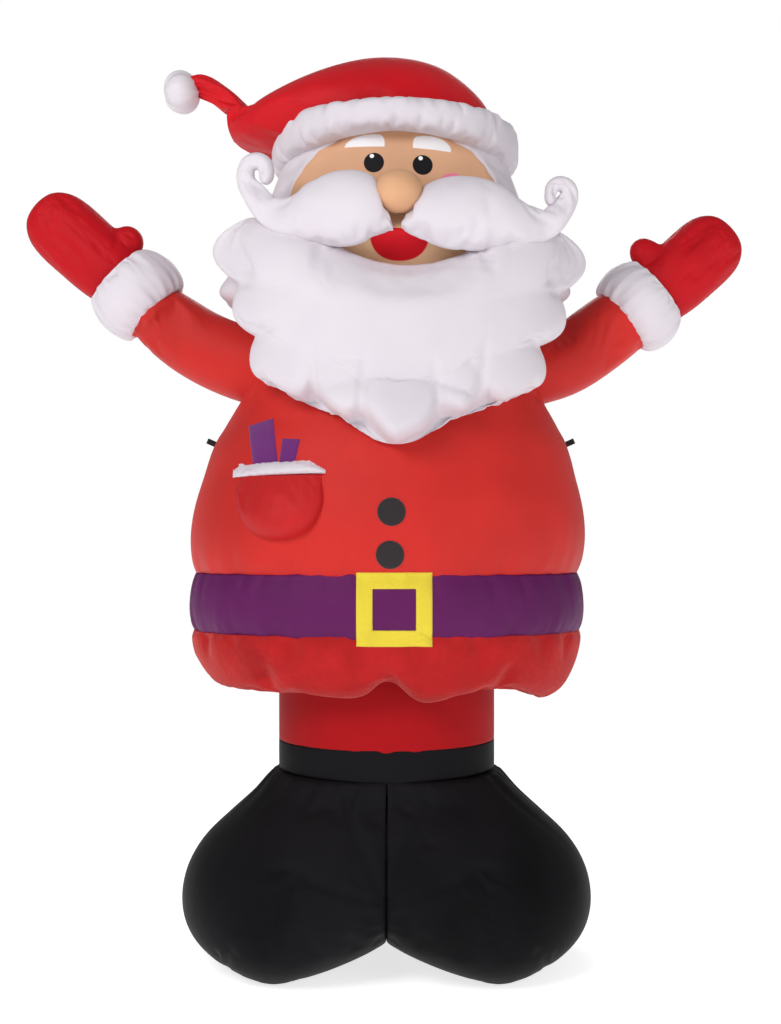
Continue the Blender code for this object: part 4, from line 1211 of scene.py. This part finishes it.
def make_sheet(name, grid, place, finish):
    """A closed form between two grids of points that share their border.

    place(i, j) gives x, z, and the y in front and behind. Also returns the border's point numbers.
    """
    columns, rows = grid
    spots = [place(i, j) for j in range(rows + 1) for i in range(columns + 1)]
    points = [Vector((x, front, z)) for x, z, front, _ in spots]
    wide = columns + 1
    behind = {}
    for n, (x, z, _, back) in enumerate(spots):
        if n % wide in (0, columns) or n // wide in (0, rows):
            behind[n] = n
        else:
            behind[n] = len(points)
            points.append(Vector((x, back, z)))
    faces = []
    for j in range(rows):
        for i in range(columns):
            n = j * wide + i
            square = (n, n + 1, n + wide + 1, n + wide)
            faces.append(square)
            faces.append(tuple(behind[m] for m in reversed(square)))
    border = [n for n, m in behind.items() if n == m]
    return make_mesh(name, points, faces, finish), border


def web_height(x):
    """How far the puffs stay off the lower edge, in the beard's own x."""
    inner = WEB_LOW * max(0.0, 1 - (x / 0.36) ** 8) * (1 - math.exp(-((x / 0.05) ** 2)))
    webs = [math.exp(-(((x - at) / WEB_HALF_WIDTH) ** 2)) for at in BEARD_NOTCHES]
    return WEB_HEIGHT * max(webs) + inner


def make_beard(finish):
    """The beard: one pillow with an outline of lobes, its lower part channelled into puffs."""
    columns, rows = BEARD_GRID
    channel = []

    def place(i, j):
        u, v = i / columns, j / rows
        u -= EDGE_CROWDING * math.sin(2 * math.pi * u)
        v -= EDGE_CROWDING * math.sin(2 * math.pi * v)
        flat = beard_outline(u, v)
        x, z = HEAD_X + flat.x, NECK + flat.y
        rim = BEARD_SIDE_Y - BEARD_ROUND * math.sqrt(max(0.0, 1 - (flat.x / BEARD_ROUND_WIDTH) ** 2))
        if z < NECK - BEARD_HANG:
            sunk = min(1.0, (NECK - BEARD_HANG - z) / 0.08)
            rim = min(rim, rim + (coat_front(x, z) - 0.035 - rim) * sunk)
        above_edge = flat.y - side_point(1, u).y - web_height(flat.x)
        puff = BEARD_THICKNESS * pillow(u, 3.2) * pillow(min(v, 0.5), 3.6)
        puff *= math.sqrt(math.tanh(max(0.0, above_edge) / 0.060))
        puff *= 1 - CHANNEL_DEPTH * channel_depth(flat.x, flat.y, CHANNEL_WIDTH)
        if channel_depth(flat.x, flat.y, CHANNEL_WIDTH / 2) > 0.45 and above_edge > 0.05:
            channel.append(j * (columns + 1) + i)
        return x, z, rim - puff, rim + BEARD_BACK * pillow(u, 2.5) * pillow(v, 2.5)

    beard, border = make_sheet("beard_puffs", BEARD_GRID, place, finish)
    pin(beard, border + channel)
    sew(beard)
    return beard


def make_moustache(name, side, table, finish):
    x0, z0 = HEAD_X, NECK + MOUSTACHE_HEIGHT
    rows = [(n, x0 + side * out, z0 + up, half) for n, (out, up, half) in enumerate(table)]
    largest = max(row[3] for row in rows)
    sides, steps = MOUSTACHE_GRID
    spine = [Vector(smooth_value(rows, (len(rows) - 1) * n / steps)) for n in range(steps + 1)]
    rings = []
    for n, (x, z, half) in enumerate(spine):
        before, after = spine[max(n - 1, 0)], spine[min(n + 1, steps)]
        along = Vector((after.x - before.x, 0, after.y - before.y)).normalized()
        root = max(0.0, 1 - n / (steps * 0.22))
        along = along.lerp(Vector((side, 0, 0)), min(1.0, 2 * root))
        across = Vector((-along.z, 0, along.x)) * side
        bend = MOUSTACHE_WRAP * max(0.0, abs(x - HEAD_X) - 0.10) ** 2
        depth = MOUSTACHE_HALF_DEPTH * (max(half, 0.004) / largest) ** 0.62
        centre = Vector((x, MOUSTACHE_Y + bend, z))
        rings.append(section(centre, across, max(half, 0.004), depth, sides))
    half = loft(name, rings, finish)
    pin_ends(half)
    pin(half, [ring * sides + place for ring in range(steps + 1) for place in (0, sides // 2)])
    sew(half)
    return half


def make_ball(name, centre, radii, grid, finish, way=Vector((0, 0, 1))):
    """An oval ball whose gathers meet at the two ends of the direction way."""
    turn_to = Vector((0, 0, 1)).rotation_difference(way)
    sides, rows = grid
    rings = []
    for n in range(1, rows):
        tilt = math.pi * n / rows
        ring = []
        for m in range(sides):
            turn = 2 * math.pi * m / sides
            spot = Vector((
                radii[0] * math.sin(tilt) * math.cos(turn),
                radii[1] * math.sin(tilt) * math.sin(turn),
                -radii[2] * math.cos(tilt),
            ))
            ring.append(centre + turn_to @ spot)
        rings.append(ring)
    return loft(name, rings, finish)


def make_nose(finish):
    centre = Vector((HEAD_X + NOSE_X, -NOSE_REACH, NECK + NOSE_HEIGHT))
    radii = (NOSE_RADIUS, NOSE_RADIUS * 1.1, NOSE_HALF_HEIGHT)
    nose = make_ball("nose_ball", centre, radii, NOSE_GRID, finish)
    pin_ends(nose)
    pin_where(nose, own_points(nose)[:, 1] > centre.y + 0.03)
    sew(nose)
    return nose


def hat_ring(place, sides):
    low = Vector(smooth_value([(n, *row[0]) for n, row in enumerate(HAT_SECTIONS)], place))
    high = Vector(smooth_value([(n, *row[1]) for n, row in enumerate(HAT_SECTIONS)], place))
    (depth,) = smooth_value([(n, row[2]) for n, row in enumerate(HAT_SECTIONS)], place)
    start = Vector((HEAD_X + low.x, 0, HAT_SEAM + low.y))
    end = Vector((HEAD_X + high.x, 0, HAT_SEAM + high.y))
    across = end - start
    return section((start + end) / 2, across, across.length / 2, depth, sides)


def make_hat(finish):
    sides, steps = HAT_GRID
    last = len(HAT_SECTIONS) - 1
    rings = [hat_ring(last * n / steps, sides) for n in range(steps + 1)]
    hat = loft("hat_cone", rings, finish)
    pin_ends(hat)
    pin(hat, ring_points(hat, round(TAIL_START / last * steps)))
    sew(hat)
    return hat


def make_hat_band(finish):
    """A roll round the hat's seam, puckered where it is sewn on above and below."""
    sides, around = HAT_BAND_GRID
    points, faces = [], []
    for n in range(sides):
        turn = 2 * math.pi * n / sides - math.pi / 2
        out = Vector((math.cos(turn), math.sin(turn), 0))
        x, y = HEAD_X + HAT_BAND_HALF_WIDTH * out.x, HAT_BAND_HALF_DEPTH * out.y
        rise = HAT_BAND_RISE * (1 - HAT_BAND_TILT * out.y - 0.4 * abs(out.x))
        middle = Vector((x, y, HAT_SEAM + rise))
        half_height = HAT_BAND_HALF_HEIGHT * (1 + 0.45 * out.x**2)
        for m in range(around):
            roll = 2 * math.pi * m / around
            reach = out * (HAT_BAND_THICKNESS * signed_power(math.cos(roll), 0.8))
            lift = Vector((0, 0, half_height * signed_power(math.sin(roll), 0.8)))
            points.append(middle + reach + lift)
    for n in range(sides):
        after = (n + 1) % sides
        for m in range(around):
            up = (m + 1) % around
            faces.append((n * around + m, after * around + m, after * around + up, n * around + up))
    dice = np.random.default_rng(HAT_BAND_SEED)
    ups = dice.uniform(-1, 1, (2, HAT_BAND_FOLDS))
    turns = np.arange(sides) * HAT_BAND_FOLDS / sides
    whole = turns.astype(int)
    share = 0.5 - 0.5 * np.cos(np.pi * (turns - whole))
    for n in range(sides):
        out = points[n * around] - points[n * around + around // 2]
        for m in range(around):
            roll = 2 * math.pi * m / around
            row = ups[0 if math.sin(roll) > 0 else 1]
            up = row[whole[n]] * (1 - share[n]) + row[(whole[n] + 1) % HAT_BAND_FOLDS] * share[n]
            strong = max(0.0, math.cos(roll) + 0.25) * abs(math.sin(roll))
            points[n * around + m] += out.normalized() * (HAT_BAND_PUCKER * up * strong)
    band = make_mesh("hat_band_roll", points, faces, finish)
    held = range(around // 4 + 1, around - around // 4)
    pin(band, [n * around + m for n in range(sides) for m in held])
    sew(band)
    return band


def make_pompom(finish):
    centre = Vector((HEAD_X + POMPOM_AT[0], 0, HAT_SEAM + POMPOM_AT[1]))
    radii = (POMPOM_RADIUS * 0.85, POMPOM_RADIUS, POMPOM_RADIUS * 0.72)
    way = Vector((1, 0, 0.12)).normalized()
    ball = make_ball("pompom_ball", centre, radii, POMPOM_GRID, finish, way)
    pin_ends(ball)
    sew(ball)
    return ball


def pocket_outline(count):
    points = []
    for n in range(count + 1):
        turn = math.pi * n / count
        x = POCKET_X - POCKET_WIDTH / 2 * signed_power(math.cos(turn), 0.8)
        z = POCKET_TOP - POCKET_DROP * signed_power(math.sin(turn), 0.85)
        points.append((x, z))
    return points


def make_pocket(finish):
    columns, rows = POCKET_GRID

    def place(i, j):
        v = math.sin(math.pi / 2 * j / rows)
        u = arched(i, columns)
        half = POCKET_WIDTH / 2 * max(1 - v**2.6, 0.0004) ** 0.42
        x, z = POCKET_X + half * u, POCKET_TOP - POCKET_DROP * v
        puff = (POCKET_BULGE + POCKET_FULLNESS) * max(0.0, 1 - u**2) ** 0.5 * max(0.0, 1 - v**4) ** 0.5
        puff *= 0.30 + 0.70 * math.sin(math.pi / 2 * min(1.0, v * 1.25))
        seat = coat_front(x, z)
        return x, z, seat + 0.004 - puff, seat + 0.03

    pocket, border = make_sheet("pocket_pouch", POCKET_GRID, place, finish)
    pin(pocket, border)
    sew(pocket)
    return pocket


def make_trim(finish):
    """The white roll on the pocket's mouth, pointed at its right end."""
    columns, rows = TRIM_GRID

    def place(i, j):
        v = 0.5 - 0.5 * math.cos(math.pi * j / rows)
        u = arched(i, columns)
        x = POCKET_X - 0.004 + (POCKET_WIDTH / 2 + 0.006) * u
        tall = TRIM_HEIGHT * min(1.0, 0.12 + 2.6 * (1 - u), 0.80 + 1.2 * (1 + u))
        z = POCKET_TOP + 0.004 * u + tall * (1 - v) - 0.008 * v
        mouth = POCKET_BULGE * 0.30 * max(0.0, 1 - u**2) ** 0.5
        puff = TRIM_BULGE * pillow(v, 2.4) * max(0.0, 1 - u**2) ** 0.3
        seat = coat_front(x, z)
        return x, z, seat - mouth * v - puff, seat + 0.02

    trim, border = make_sheet("pocket_trim_roll", TRIM_GRID, place, finish)
    pin(trim, border)
    sew(trim)
    return trim


class Finish:
    """A small helper that builds one fabric material, node by node."""

    def __init__(self, name, colour, roughness=0.6):
        self.made = bpy.data.materials.new(name)
        self.made.use_nodes = True
        self.nodes = self.made.node_tree.nodes
        self.links = self.made.node_tree.links
        self.shader = self.nodes["Principled BSDF"]
        self.shader.inputs["Roughness"].default_value = roughness
        self.where = self.nodes.new("ShaderNodeTexCoord").outputs["Object"]
        self.colour = self.rgb(colour)
        self.normal = None

    def rgb(self, colour):
        mix = self.nodes.new("ShaderNodeMix")
        mix.data_type = "RGBA"
        mix.inputs[6].default_value = (*colour, 1)
        mix.inputs[7].default_value = (*colour, 1)
        return mix.outputs[2]

    def noise(self, scale, detail=4.0, roughness=0.55, distortion=0.0, where=None):
        node = self.nodes.new("ShaderNodeTexNoise")
        node.inputs["Scale"].default_value = scale
        node.inputs["Detail"].default_value = detail
        node.inputs["Roughness"].default_value = roughness
        node.inputs["Distortion"].default_value = distortion
        self.links.new(where or self.where, node.inputs["Vector"])
        return node.outputs["Fac"]

    def stretched(self, x, y, z):
        node = self.nodes.new("ShaderNodeMapping")
        node.inputs["Scale"].default_value = (x, y, z)
        self.links.new(self.where, node.inputs["Vector"])
        return node.outputs["Vector"]

    def wave(self, scale, direction, distortion=0.0):
        node = self.nodes.new("ShaderNodeTexWave")
        node.bands_direction = direction
        node.inputs["Scale"].default_value = scale
        node.inputs["Distortion"].default_value = distortion
        self.links.new(self.where, node.inputs["Vector"])
        return node.outputs["Fac"]

    def maths(self, operation, first, second=0.0, third=0.0):
        node = self.nodes.new("ShaderNodeMath")
        node.operation = operation
        for socket, value in zip(node.inputs, (first, second, third)):
            if isinstance(value, (int, float)):
                socket.default_value = value
            else:
                self.links.new(value, socket)
        return node.outputs[0]

    def between(self, value, low, high):
        """value squeezed from low..high to 0..1, smoothly."""
        node = self.nodes.new("ShaderNodeMapRange")
        node.interpolation_type = "SMOOTHSTEP"
        node.inputs["From Min"].default_value = low
        node.inputs["From Max"].default_value = high
        self.links.new(value, node.inputs["Value"])
        return node.outputs["Result"]

    def tint(self, share, colour):
        """Mixes colour in where share is 1."""
        mix = self.nodes.new("ShaderNodeMix")
        mix.data_type = "RGBA"
        self.links.new(share, mix.inputs[0])
        self.links.new(self.colour, mix.inputs[6])
        mix.inputs[7].default_value = (*colour, 1)
        self.colour = mix.outputs[2]

    def bump(self, height, distance, strength=1.0):
        node = self.nodes.new("ShaderNodeBump")
        node.inputs["Distance"].default_value = distance
        node.inputs["Strength"].default_value = strength
        self.links.new(height, node.inputs["Height"])
        if self.normal:
            self.links.new(self.normal, node.inputs["Normal"])
        self.normal = node.outputs["Normal"]

    def soft(self, sheen, sheen_roughness, specular):
        self.shader.inputs["Sheen Weight"].default_value = sheen
        self.shader.inputs["Sheen Roughness"].default_value = sheen_roughness
        self.shader.inputs["Specular IOR Level"].default_value = specular

    def done(self):
        self.links.new(self.colour, self.shader.inputs["Base Color"])
        if self.normal:
            self.links.new(self.normal, self.shader.inputs["Normal"])
        return self.made


def scaled(colour, share):
    return tuple(channel * share for channel in colour)


def nylon(name, colour, roughness, crinkle, sheen, specular, shade=None):
    """Thin coated nylon: soft shine, small air-filled crinkles and a fine plain weave."""
    finish = Finish(name, colour, roughness)
    dark = shade or scaled(colour, 0.80)
    finish.tint(finish.between(finish.noise(1.6, 3), 0.38, 0.72), dark)
    ridges = finish.noise(7.0, 3, 0.5, 0.3)
    folded = finish.maths("ABSOLUTE", finish.maths("SUBTRACT", ridges, 0.5))
    finish.bump(finish.maths("MULTIPLY", folded, -2.0), crinkle, 0.35)
    finish.bump(finish.noise(24.0, 4, 0.55, 0.4), crinkle * 0.5, 0.4)
    weave = finish.maths("ADD", finish.wave(310, "X"), finish.wave(310, "Z"))
    finish.bump(weave, 0.00025, 0.35)
    finish.soft(sheen, 0.45, specular)
    return finish


def plush(name, colour):
    """Short pile that lies in darker and lighter patches, with painted shade in the hollows of its
    fine pile.
    """
    finish = Finish(name, colour, 0.92)
    finish.tint(finish.between(finish.noise(7.0, 5, 0.6, 0.3), 0.42, 0.70), scaled(colour, 1.16))
    finish.tint(finish.between(finish.noise(3.1, 4, 0.6, 0.2), 0.54, 0.72), scaled(colour, 0.80))
    pile = finish.noise(420.0, 2, 0.7, 0.2, finish.stretched(1, 1, 0.45))
    # Painted shade: the low spots of the fine pile, which the bump below sinks, are painted darker
    finish.tint(finish.between(pile, 0.30, 0.10), scaled(colour, 0.45))
    finish.bump(finish.noise(30.0, 4, 0.6, 0.6), 0.006, 0.7)
    finish.bump(pile, 0.0022, 0.9)
    finish.soft(0.65, 0.35, 0.15)
    finish.shader.inputs["Sheen Tint"].default_value = (1.0, 0.35, 0.32, 1)
    return finish.done()


def felt(name, colour, dark):
    """Pressed fibres, a little uneven."""
    finish = Finish(name, colour, 0.88)
    fibres = finish.noise(150.0, 5, 0.75, 1.2)
    finish.tint(finish.between(fibres, 0.50, 0.72), dark)
    finish.tint(finish.between(finish.noise(7.0, 3), 0.50, 0.75), scaled(colour, 0.86))
    finish.bump(fibres, 0.0009, 0.7)
    finish.bump(finish.noise(24.0, 3), 0.002, 0.4)
    finish.soft(0.30, 0.5, 0.2)
    return finish.done()


def webbing(name, colour):
    """A woven strap with ribs across it, their crests painted lighter as a painted highlight."""
    finish = Finish(name, colour, 0.65)
    ribs = finish.wave(190, "Z", 0.4)
    finish.bump(ribs, 0.0006, 0.8)
    # Painted highlight: the rib crests, the high parts of the bump, are painted lighter
    finish.tint(finish.between(ribs, 0.4, 0.9), scaled(colour, 2.2))
    finish.soft(0.2, 0.4, 0.3)
    return finish.done()


def oval(finish, centre, half, squareness=2.0, edge=0.06):
    """1 inside an oval on the XZ plane, in the frame, and 0 outside."""
    split = finish.nodes.new("ShaderNodeSeparateXYZ")
    finish.links.new(finish.where, split.inputs[0])
    reach = []
    for socket, middle, size in ((0, centre[0] + ORIGIN.x, half[0]), (2, centre[1], half[1])):
        away = finish.maths("SUBTRACT", split.outputs[socket], middle)
        share = finish.maths("ABSOLUTE", finish.maths("DIVIDE", away, size))
        reach.append(finish.maths("POWER", share, squareness))
    total = finish.maths("ADD", reach[0], reach[1])
    return finish.between(total, 1 + edge, 1 - edge)


def above(finish, height, slope=0.0, edge=0.002):
    """1 above a line on the XZ plane and 0 below it; a negative edge turns it round."""
    split = finish.nodes.new("ShaderNodeSeparateXYZ")
    finish.links.new(finish.where, split.inputs[0])
    line = finish.maths("MULTIPLY", split.outputs[0], slope)
    up = finish.maths("SUBTRACT", split.outputs[2], line)
    return finish.between(up, height - edge, height + edge)


def face_finish(skin_colour):
    """Skin-coloured nylon with the flat face printed on it, and painted light on the skin round the
    mouth.
    """
    finish = nylon("skin_print_and_painted_light", skin_colour, 0.55, 0.0025, 0.05, 0.12)
    # Painted light: a lighter patch of skin round the mouth, where the moustache and beard shade it
    finish.tint(oval(finish, CHIN_PAINTED_LIGHT[:2], CHIN_PAINTED_LIGHT[2:], 2.0, 0.35), (1.0, 0.68, 0.42))
    for spot in CHEEKS:
        finish.tint(oval(finish, spot[:2], spot[2:], 2.0, 0.05), CHEEK_PINK)
    for (x, wide), (x_cut, wide_cut), z, high, slope in BROWS:
        low = above(finish, z - slope * (x + ORIGIN.x), slope)
        leaf = finish.maths("MULTIPLY", oval(finish, (x, z), (wide, high)), low)
        cut = oval(finish, (x_cut, z), (wide_cut, high * 1.1), 4.0)
        finish.tint(finish.maths("MULTIPLY", leaf, cut), BROW_WHITE)
    for spot in EYES:
        finish.tint(oval(finish, spot[:2], spot[2:]), EYE_BLACK)
    for spot in EYE_LIGHTS:
        finish.tint(oval(finish, spot[:2], spot[2:]), EYE_WHITE)
    # The printed mouth, its red painted lighter: painted light in the shade under the moustache
    lips = oval(finish, MOUTH[:2], MOUTH[2:], 2.2)
    under = above(finish, MOUTH_TOP, 0.0, -0.002)
    finish.tint(finish.maths("MULTIPLY", lips, under), MOUTH_RED_WITH_PAINTED_LIGHT)
    return finish.done()


def surface_of(*pieces):
    """Something to drape on: the finished surfaces of the pieces, in the frame."""
    graph = bpy.context.evaluated_depsgraph_get()
    shell = bmesh.new()
    for piece in pieces:
        shell.from_mesh(piece.evaluated_get(graph).to_mesh())
    tree = BVHTree.FromBMesh(shell)
    shell.free()
    return tree


def front_of(tree, x, z):
    """The y of the draped-on surface, seen from the front, in the figure's own x and z."""
    for aside in (0.0, 0.002, -0.002, 0.005, -0.005):
        hit, _, _, _ = tree.ray_cast(Vector((x, -3, z + aside)) + ORIGIN, Vector((0, 1, 0)))
        if hit:
            break
    return hit.y - ORIGIN.y


def patch(name, tree, where, grid, thickness, finish, round_edge):
    """A flat piece of cloth sewn on: where(u, v) gives x and z, and the edge is rounded over."""
    columns, rows = grid

    def place(i, j):
        u = 0.5 - 0.5 * math.cos(math.pi * i / columns)
        v = 0.5 - 0.5 * math.cos(math.pi * j / rows)
        x, z = where(u, v)
        seat = front_of(tree, x, z)
        lift = thickness * min(1.0, min(u, 1 - u, v, 1 - v) / round_edge) ** 0.5
        return x, z, seat - 0.0004 - lift, seat + 0.004

    return make_sheet(name, grid, place, finish)[0]


def make_button(name, tree, height, finish):
    z0 = BELT_TOP + height
    x0 = lean(z0) + BUTTON_ASIDE

    def disc(u, v):
        a, b = 2 * u - 1, 2 * v - 1
        x, z = a * math.sqrt(1 - b * b / 2), b * math.sqrt(1 - a * a / 2)
        return x0 + BUTTON_RADIUS * x, z0 + BUTTON_RADIUS * z

    return patch(name, tree, disc, BUTTON_GRID, BUTTON_THICKNESS, finish, 0.05)


def make_gift(name, tree, shape, finish):
    """A strip that stands in the pocket: its top's two corners, and x of its two lower corners."""
    high_left, high_right = Vector(shape[0]), Vector(shape[1])
    foot = TRIM_HEIGHT - GIFT_LAP
    low_left, low_right = Vector((shape[2], foot)), Vector((shape[3], foot))

    def strip(u, v):
        spot = high_left.lerp(high_right, u).lerp(low_left.lerp(low_right, u), v)
        return POCKET_X + spot.x, POCKET_TOP + spot.y

    return patch(name, tree, strip, GIFT_GRID, GIFT_THICKNESS, finish, 0.10)


def make_buckle(tree, finish):
    """A square frame of felt laid over the belt and the coat's edge."""
    x0, z0 = LOWER_X + BUCKLE_ASIDE, BELT_LOW + BELT_HEIGHT * BUCKLE_SHARE
    side_steps = 40
    insets = (0.0, 0.02, 0.10, 0.35, 0.65, 0.90, 0.98, 1.0)
    lifts = (0.0, 0.6, 1.0, 1.0, 1.0, 1.0, 0.6, 0.0)
    rings = []
    for inset, lift in zip(insets, lifts):
        half_w = BUCKLE_WIDTH / 2 - BUCKLE_BAR * inset
        half_h = BUCKLE_HEIGHT / 2 - BUCKLE_BAR * inset
        ring = []
        for side in range(4):
            for n in range(side_steps):
                s = 2 * n / side_steps - 1
                x, z = ((s, 1), (1, -s), (-s, -1), (-1, s))[side]
                x, z = x0 + x * half_w, z0 + z * half_h
                seat = front_of(tree, x, z)
                ring.append(Vector((x, seat - 0.0006 - BUCKLE_THICKNESS * lift, z)))
        rings.append(ring)
    count = 4 * side_steps
    points = [p for ring in rings for p in ring]
    back = len(points)
    for ring in (rings[0], rings[-1]):
        points += [p + Vector((0, 0.004, 0)) for p in ring]
    faces = []
    for r in range(len(rings) - 1):
        for n in range(count):
            m = (n + 1) % count
            faces.append((r * count + n, r * count + m, (r + 1) * count + m, (r + 1) * count + n))
    last = (len(rings) - 1) * count
    for n in range(count):
        m = (n + 1) % count
        faces.append((n, back + n, back + m, m))
        faces.append((last + n, last + m, back + count + m, back + count + n))
        faces.append((back + n, back + count + n, back + count + m, back + m))
    return make_mesh("buckle_felt", points, faces, finish)


def make_arm(side, path, cuff_reach, mitten_reach, thumb, finishes):
    red, white, mitten_red = finishes
    end = arm_end(path)
    wrist = end + Vector((cuff_reach[0], 0, cuff_reach[1]))
    hand_way = Vector((mitten_reach[0], 0, mitten_reach[1])).normalized()
    wrist += Vector((math.copysign(hand_way.z, hand_way.x), 0, -abs(hand_way.x))) * MITTEN_SHIFT
    make_sleeve("arm_" + side, path, cuff_reach, red)
    make_cuff("cuff_puff_" + side, end, cuff_reach, white)
    make_mitten("hand_" + side, wrist, mitten_reach, thumb, mitten_red)


def build():
    red = nylon("coat_nylon", (0.60, 0.019, 0.014), 0.5, 0.003, 0.04, 0.22).done()
    hat_red = nylon("hat_nylon", (0.61, 0.004, 0.011), 0.5, 0.003, 0.02, 0.18).done()
    # Painted shade: the pocket is the coat's red made darker, standing in for the shade on the bulging
    # pocket
    pocket_shaded_red = nylon("pocket_nylon_painted_shade", (0.53, 0.011, 0.012), 0.5, 0.004, 0.02, 0.2).done()
    mitten_red = nylon("mitten_nylon", (0.50, 0.004, 0.010), 0.5, 0.003, 0.0, 0.14).done()
    dark_red = nylon("trouser_nylon", (0.40, 0.005, 0.008), 0.6, 0.002, 0.0, 0.10).done()
    plush_red = plush("skirt_plush", (0.435, 0.014, 0.015))
    mauve = (0.66, 0.605, 0.665)
    white = nylon("white_puff", (0.70, 0.655, 0.700), 0.55, 0.0025, 0.08, 0.22, mauve).done()
    coal = (0.006, 0.0056, 0.0064)
    black = nylon("boot_nylon", (0.0105, 0.0098, 0.0112), 0.5, 0.003, 0.0, 0.03, coal).done()
    purple = nylon("belt_nylon", (0.115, 0.009, 0.095), 0.50, 0.003, 0.0, 0.15).done()
    gift_purple = felt("gift_felt", (0.135, 0.014, 0.155), (0.09, 0.009, 0.105))
    yellow = felt("buckle_felt_yellow", (0.76, 0.605, 0.043), (0.66, 0.49, 0.03))
    grey = felt("button_felt_grey", (0.025, 0.020, 0.022), (0.014, 0.011, 0.012))
    skin = face_finish((0.775, 0.435, 0.262))
    nose_skin = nylon("nose_nylon", (0.78, 0.425, 0.232), 0.5, 0.002, 0.05, 0.25).done()
    strap = webbing("loop_webbing", (0.010, 0.010, 0.010))

    coat = make_coat(red)
    belt = make_belt(purple)
    skirt = make_skirt(plush_red)
    make_leg("ankle_band", BAND_LOW, BAND_TOP, black, BAND_GRID)
    make_leg("trouser_tube", BAND_TOP, HEM + SKIRT_HEIGHT * 0.25, dark_red)
    make_boot("boot_body_right", -1, black)
    make_boot("boot_body_left", 1, black)
    reds = (red, white, mitten_red)
    make_arm("right", ARM_RIGHT, CUFF_REACH_RIGHT, MITTEN_REACH_RIGHT, THUMB_RIGHT, reds)
    make_arm("left", ARM_LEFT, CUFF_REACH_LEFT, MITTEN_REACH_LEFT, THUMB_LEFT, reds)
    make_hair(white)
    make_face(skin)
    make_beard(white)
    make_moustache("whisker_right", -1, MOUSTACHE_RIGHT, white)
    make_moustache("whisker_left", 1, MOUSTACHE_LEFT, white)
    make_nose(nose_skin)
    make_hat(hat_red)
    make_hat_band(white)
    make_pompom(white)
    make_pocket(pocket_shaded_red)
    make_trim(white)

    for piece in blow_up():
        refine(piece)
    body = surface_of(coat, belt, skirt)
    make_buckle(body, yellow)
    for name, height in zip(("felt_upper", "felt_lower"), BUTTON_HEIGHTS):
        make_button(name, body, height, grey)
    for name, shape in GIFTS.items():
        make_gift(name + "_felt", body, shape, gift_purple)

    for name, slot, node in RIDES:
        piece = bpy.data.objects[name]
        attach(piece, "root")
        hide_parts(node)
    for side in ("right", "left"):
        loop = frame["nodes"]["tether_loop_" + side]
        loop.data.materials.clear()
        loop.data.materials.append(strap)


def area_light(name, place, aim, size, power):
    data = bpy.data.lights.new(name, "AREA")
    data.shape = "DISK"
    data.size = size
    data.energy = power
    light = bpy.data.objects.new(name, data)
    light.location = place
    light.rotation_euler = (Vector(aim) - Vector(place)).to_track_quat("-Z", "Y").to_euler()
    bpy.context.scene.collection.objects.link(light)


def set_stage():
    mesh = bpy.data.meshes.new("studio_floor")
    corners = [(x * FLOOR_REACH, y * FLOOR_REACH, 0) for x, y in ((-1, -1), (1, -1), (1, 1), (-1, 1))]
    mesh.from_pydata(corners, [], [(0, 1, 2, 3)])
    pale = bpy.data.materials.new("pale_floor")
    pale.use_nodes = True
    shader = pale.node_tree.nodes["Principled BSDF"]
    shader.inputs["Base Color"].default_value = (0.86, 0.86, 0.86, 1)
    shader.inputs["Roughness"].default_value = 0.9
    shader.inputs["Emission Color"].default_value = (1, 1, 1, 1)
    shader.inputs["Emission Strength"].default_value = FLOOR_GLOW
    mesh.materials.append(pale)
    floor = bpy.data.objects.new("studio_floor", mesh)
    bpy.context.scene.collection.objects.link(floor)

    for name, place, aim, size, power in LIGHTS:
        area_light(name, place, aim, size, power)

    world = bpy.data.worlds.new("studio_world")
    world.use_nodes = True
    tree = world.node_tree
    light = tree.nodes["Background"]
    light.inputs["Color"].default_value = (1, 1, 1, 1)
    path = tree.nodes.new("ShaderNodeLightPath")
    strength = tree.nodes.new("ShaderNodeMapRange")
    strength.inputs["To Min"].default_value = SKY_LIGHT
    strength.inputs["To Max"].default_value = 1.0
    tree.links.new(path.outputs["Is Camera Ray"], strength.inputs["Value"])
    tree.links.new(strength.outputs["Result"], light.inputs["Strength"])
    bpy.context.scene.world = world
    bpy.context.scene.view_settings.view_transform = "Standard"


def set_camera():
    data = bpy.data.cameras.new("camera")
    data.lens = CAMERA_LENS
    data.sensor_width = 36.0
    data.shift_y = CAMERA_SHIFT
    data.clip_end = 200
    camera = bpy.data.objects.new("camera", data)
    camera.location = Vector(CAMERA_PLACE) + ORIGIN
    camera.rotation_euler = (math.radians(90), 0, 0)
    bpy.context.scene.collection.objects.link(camera)
    bpy.context.scene.camera = camera


set_camera()
build()
set_stage()
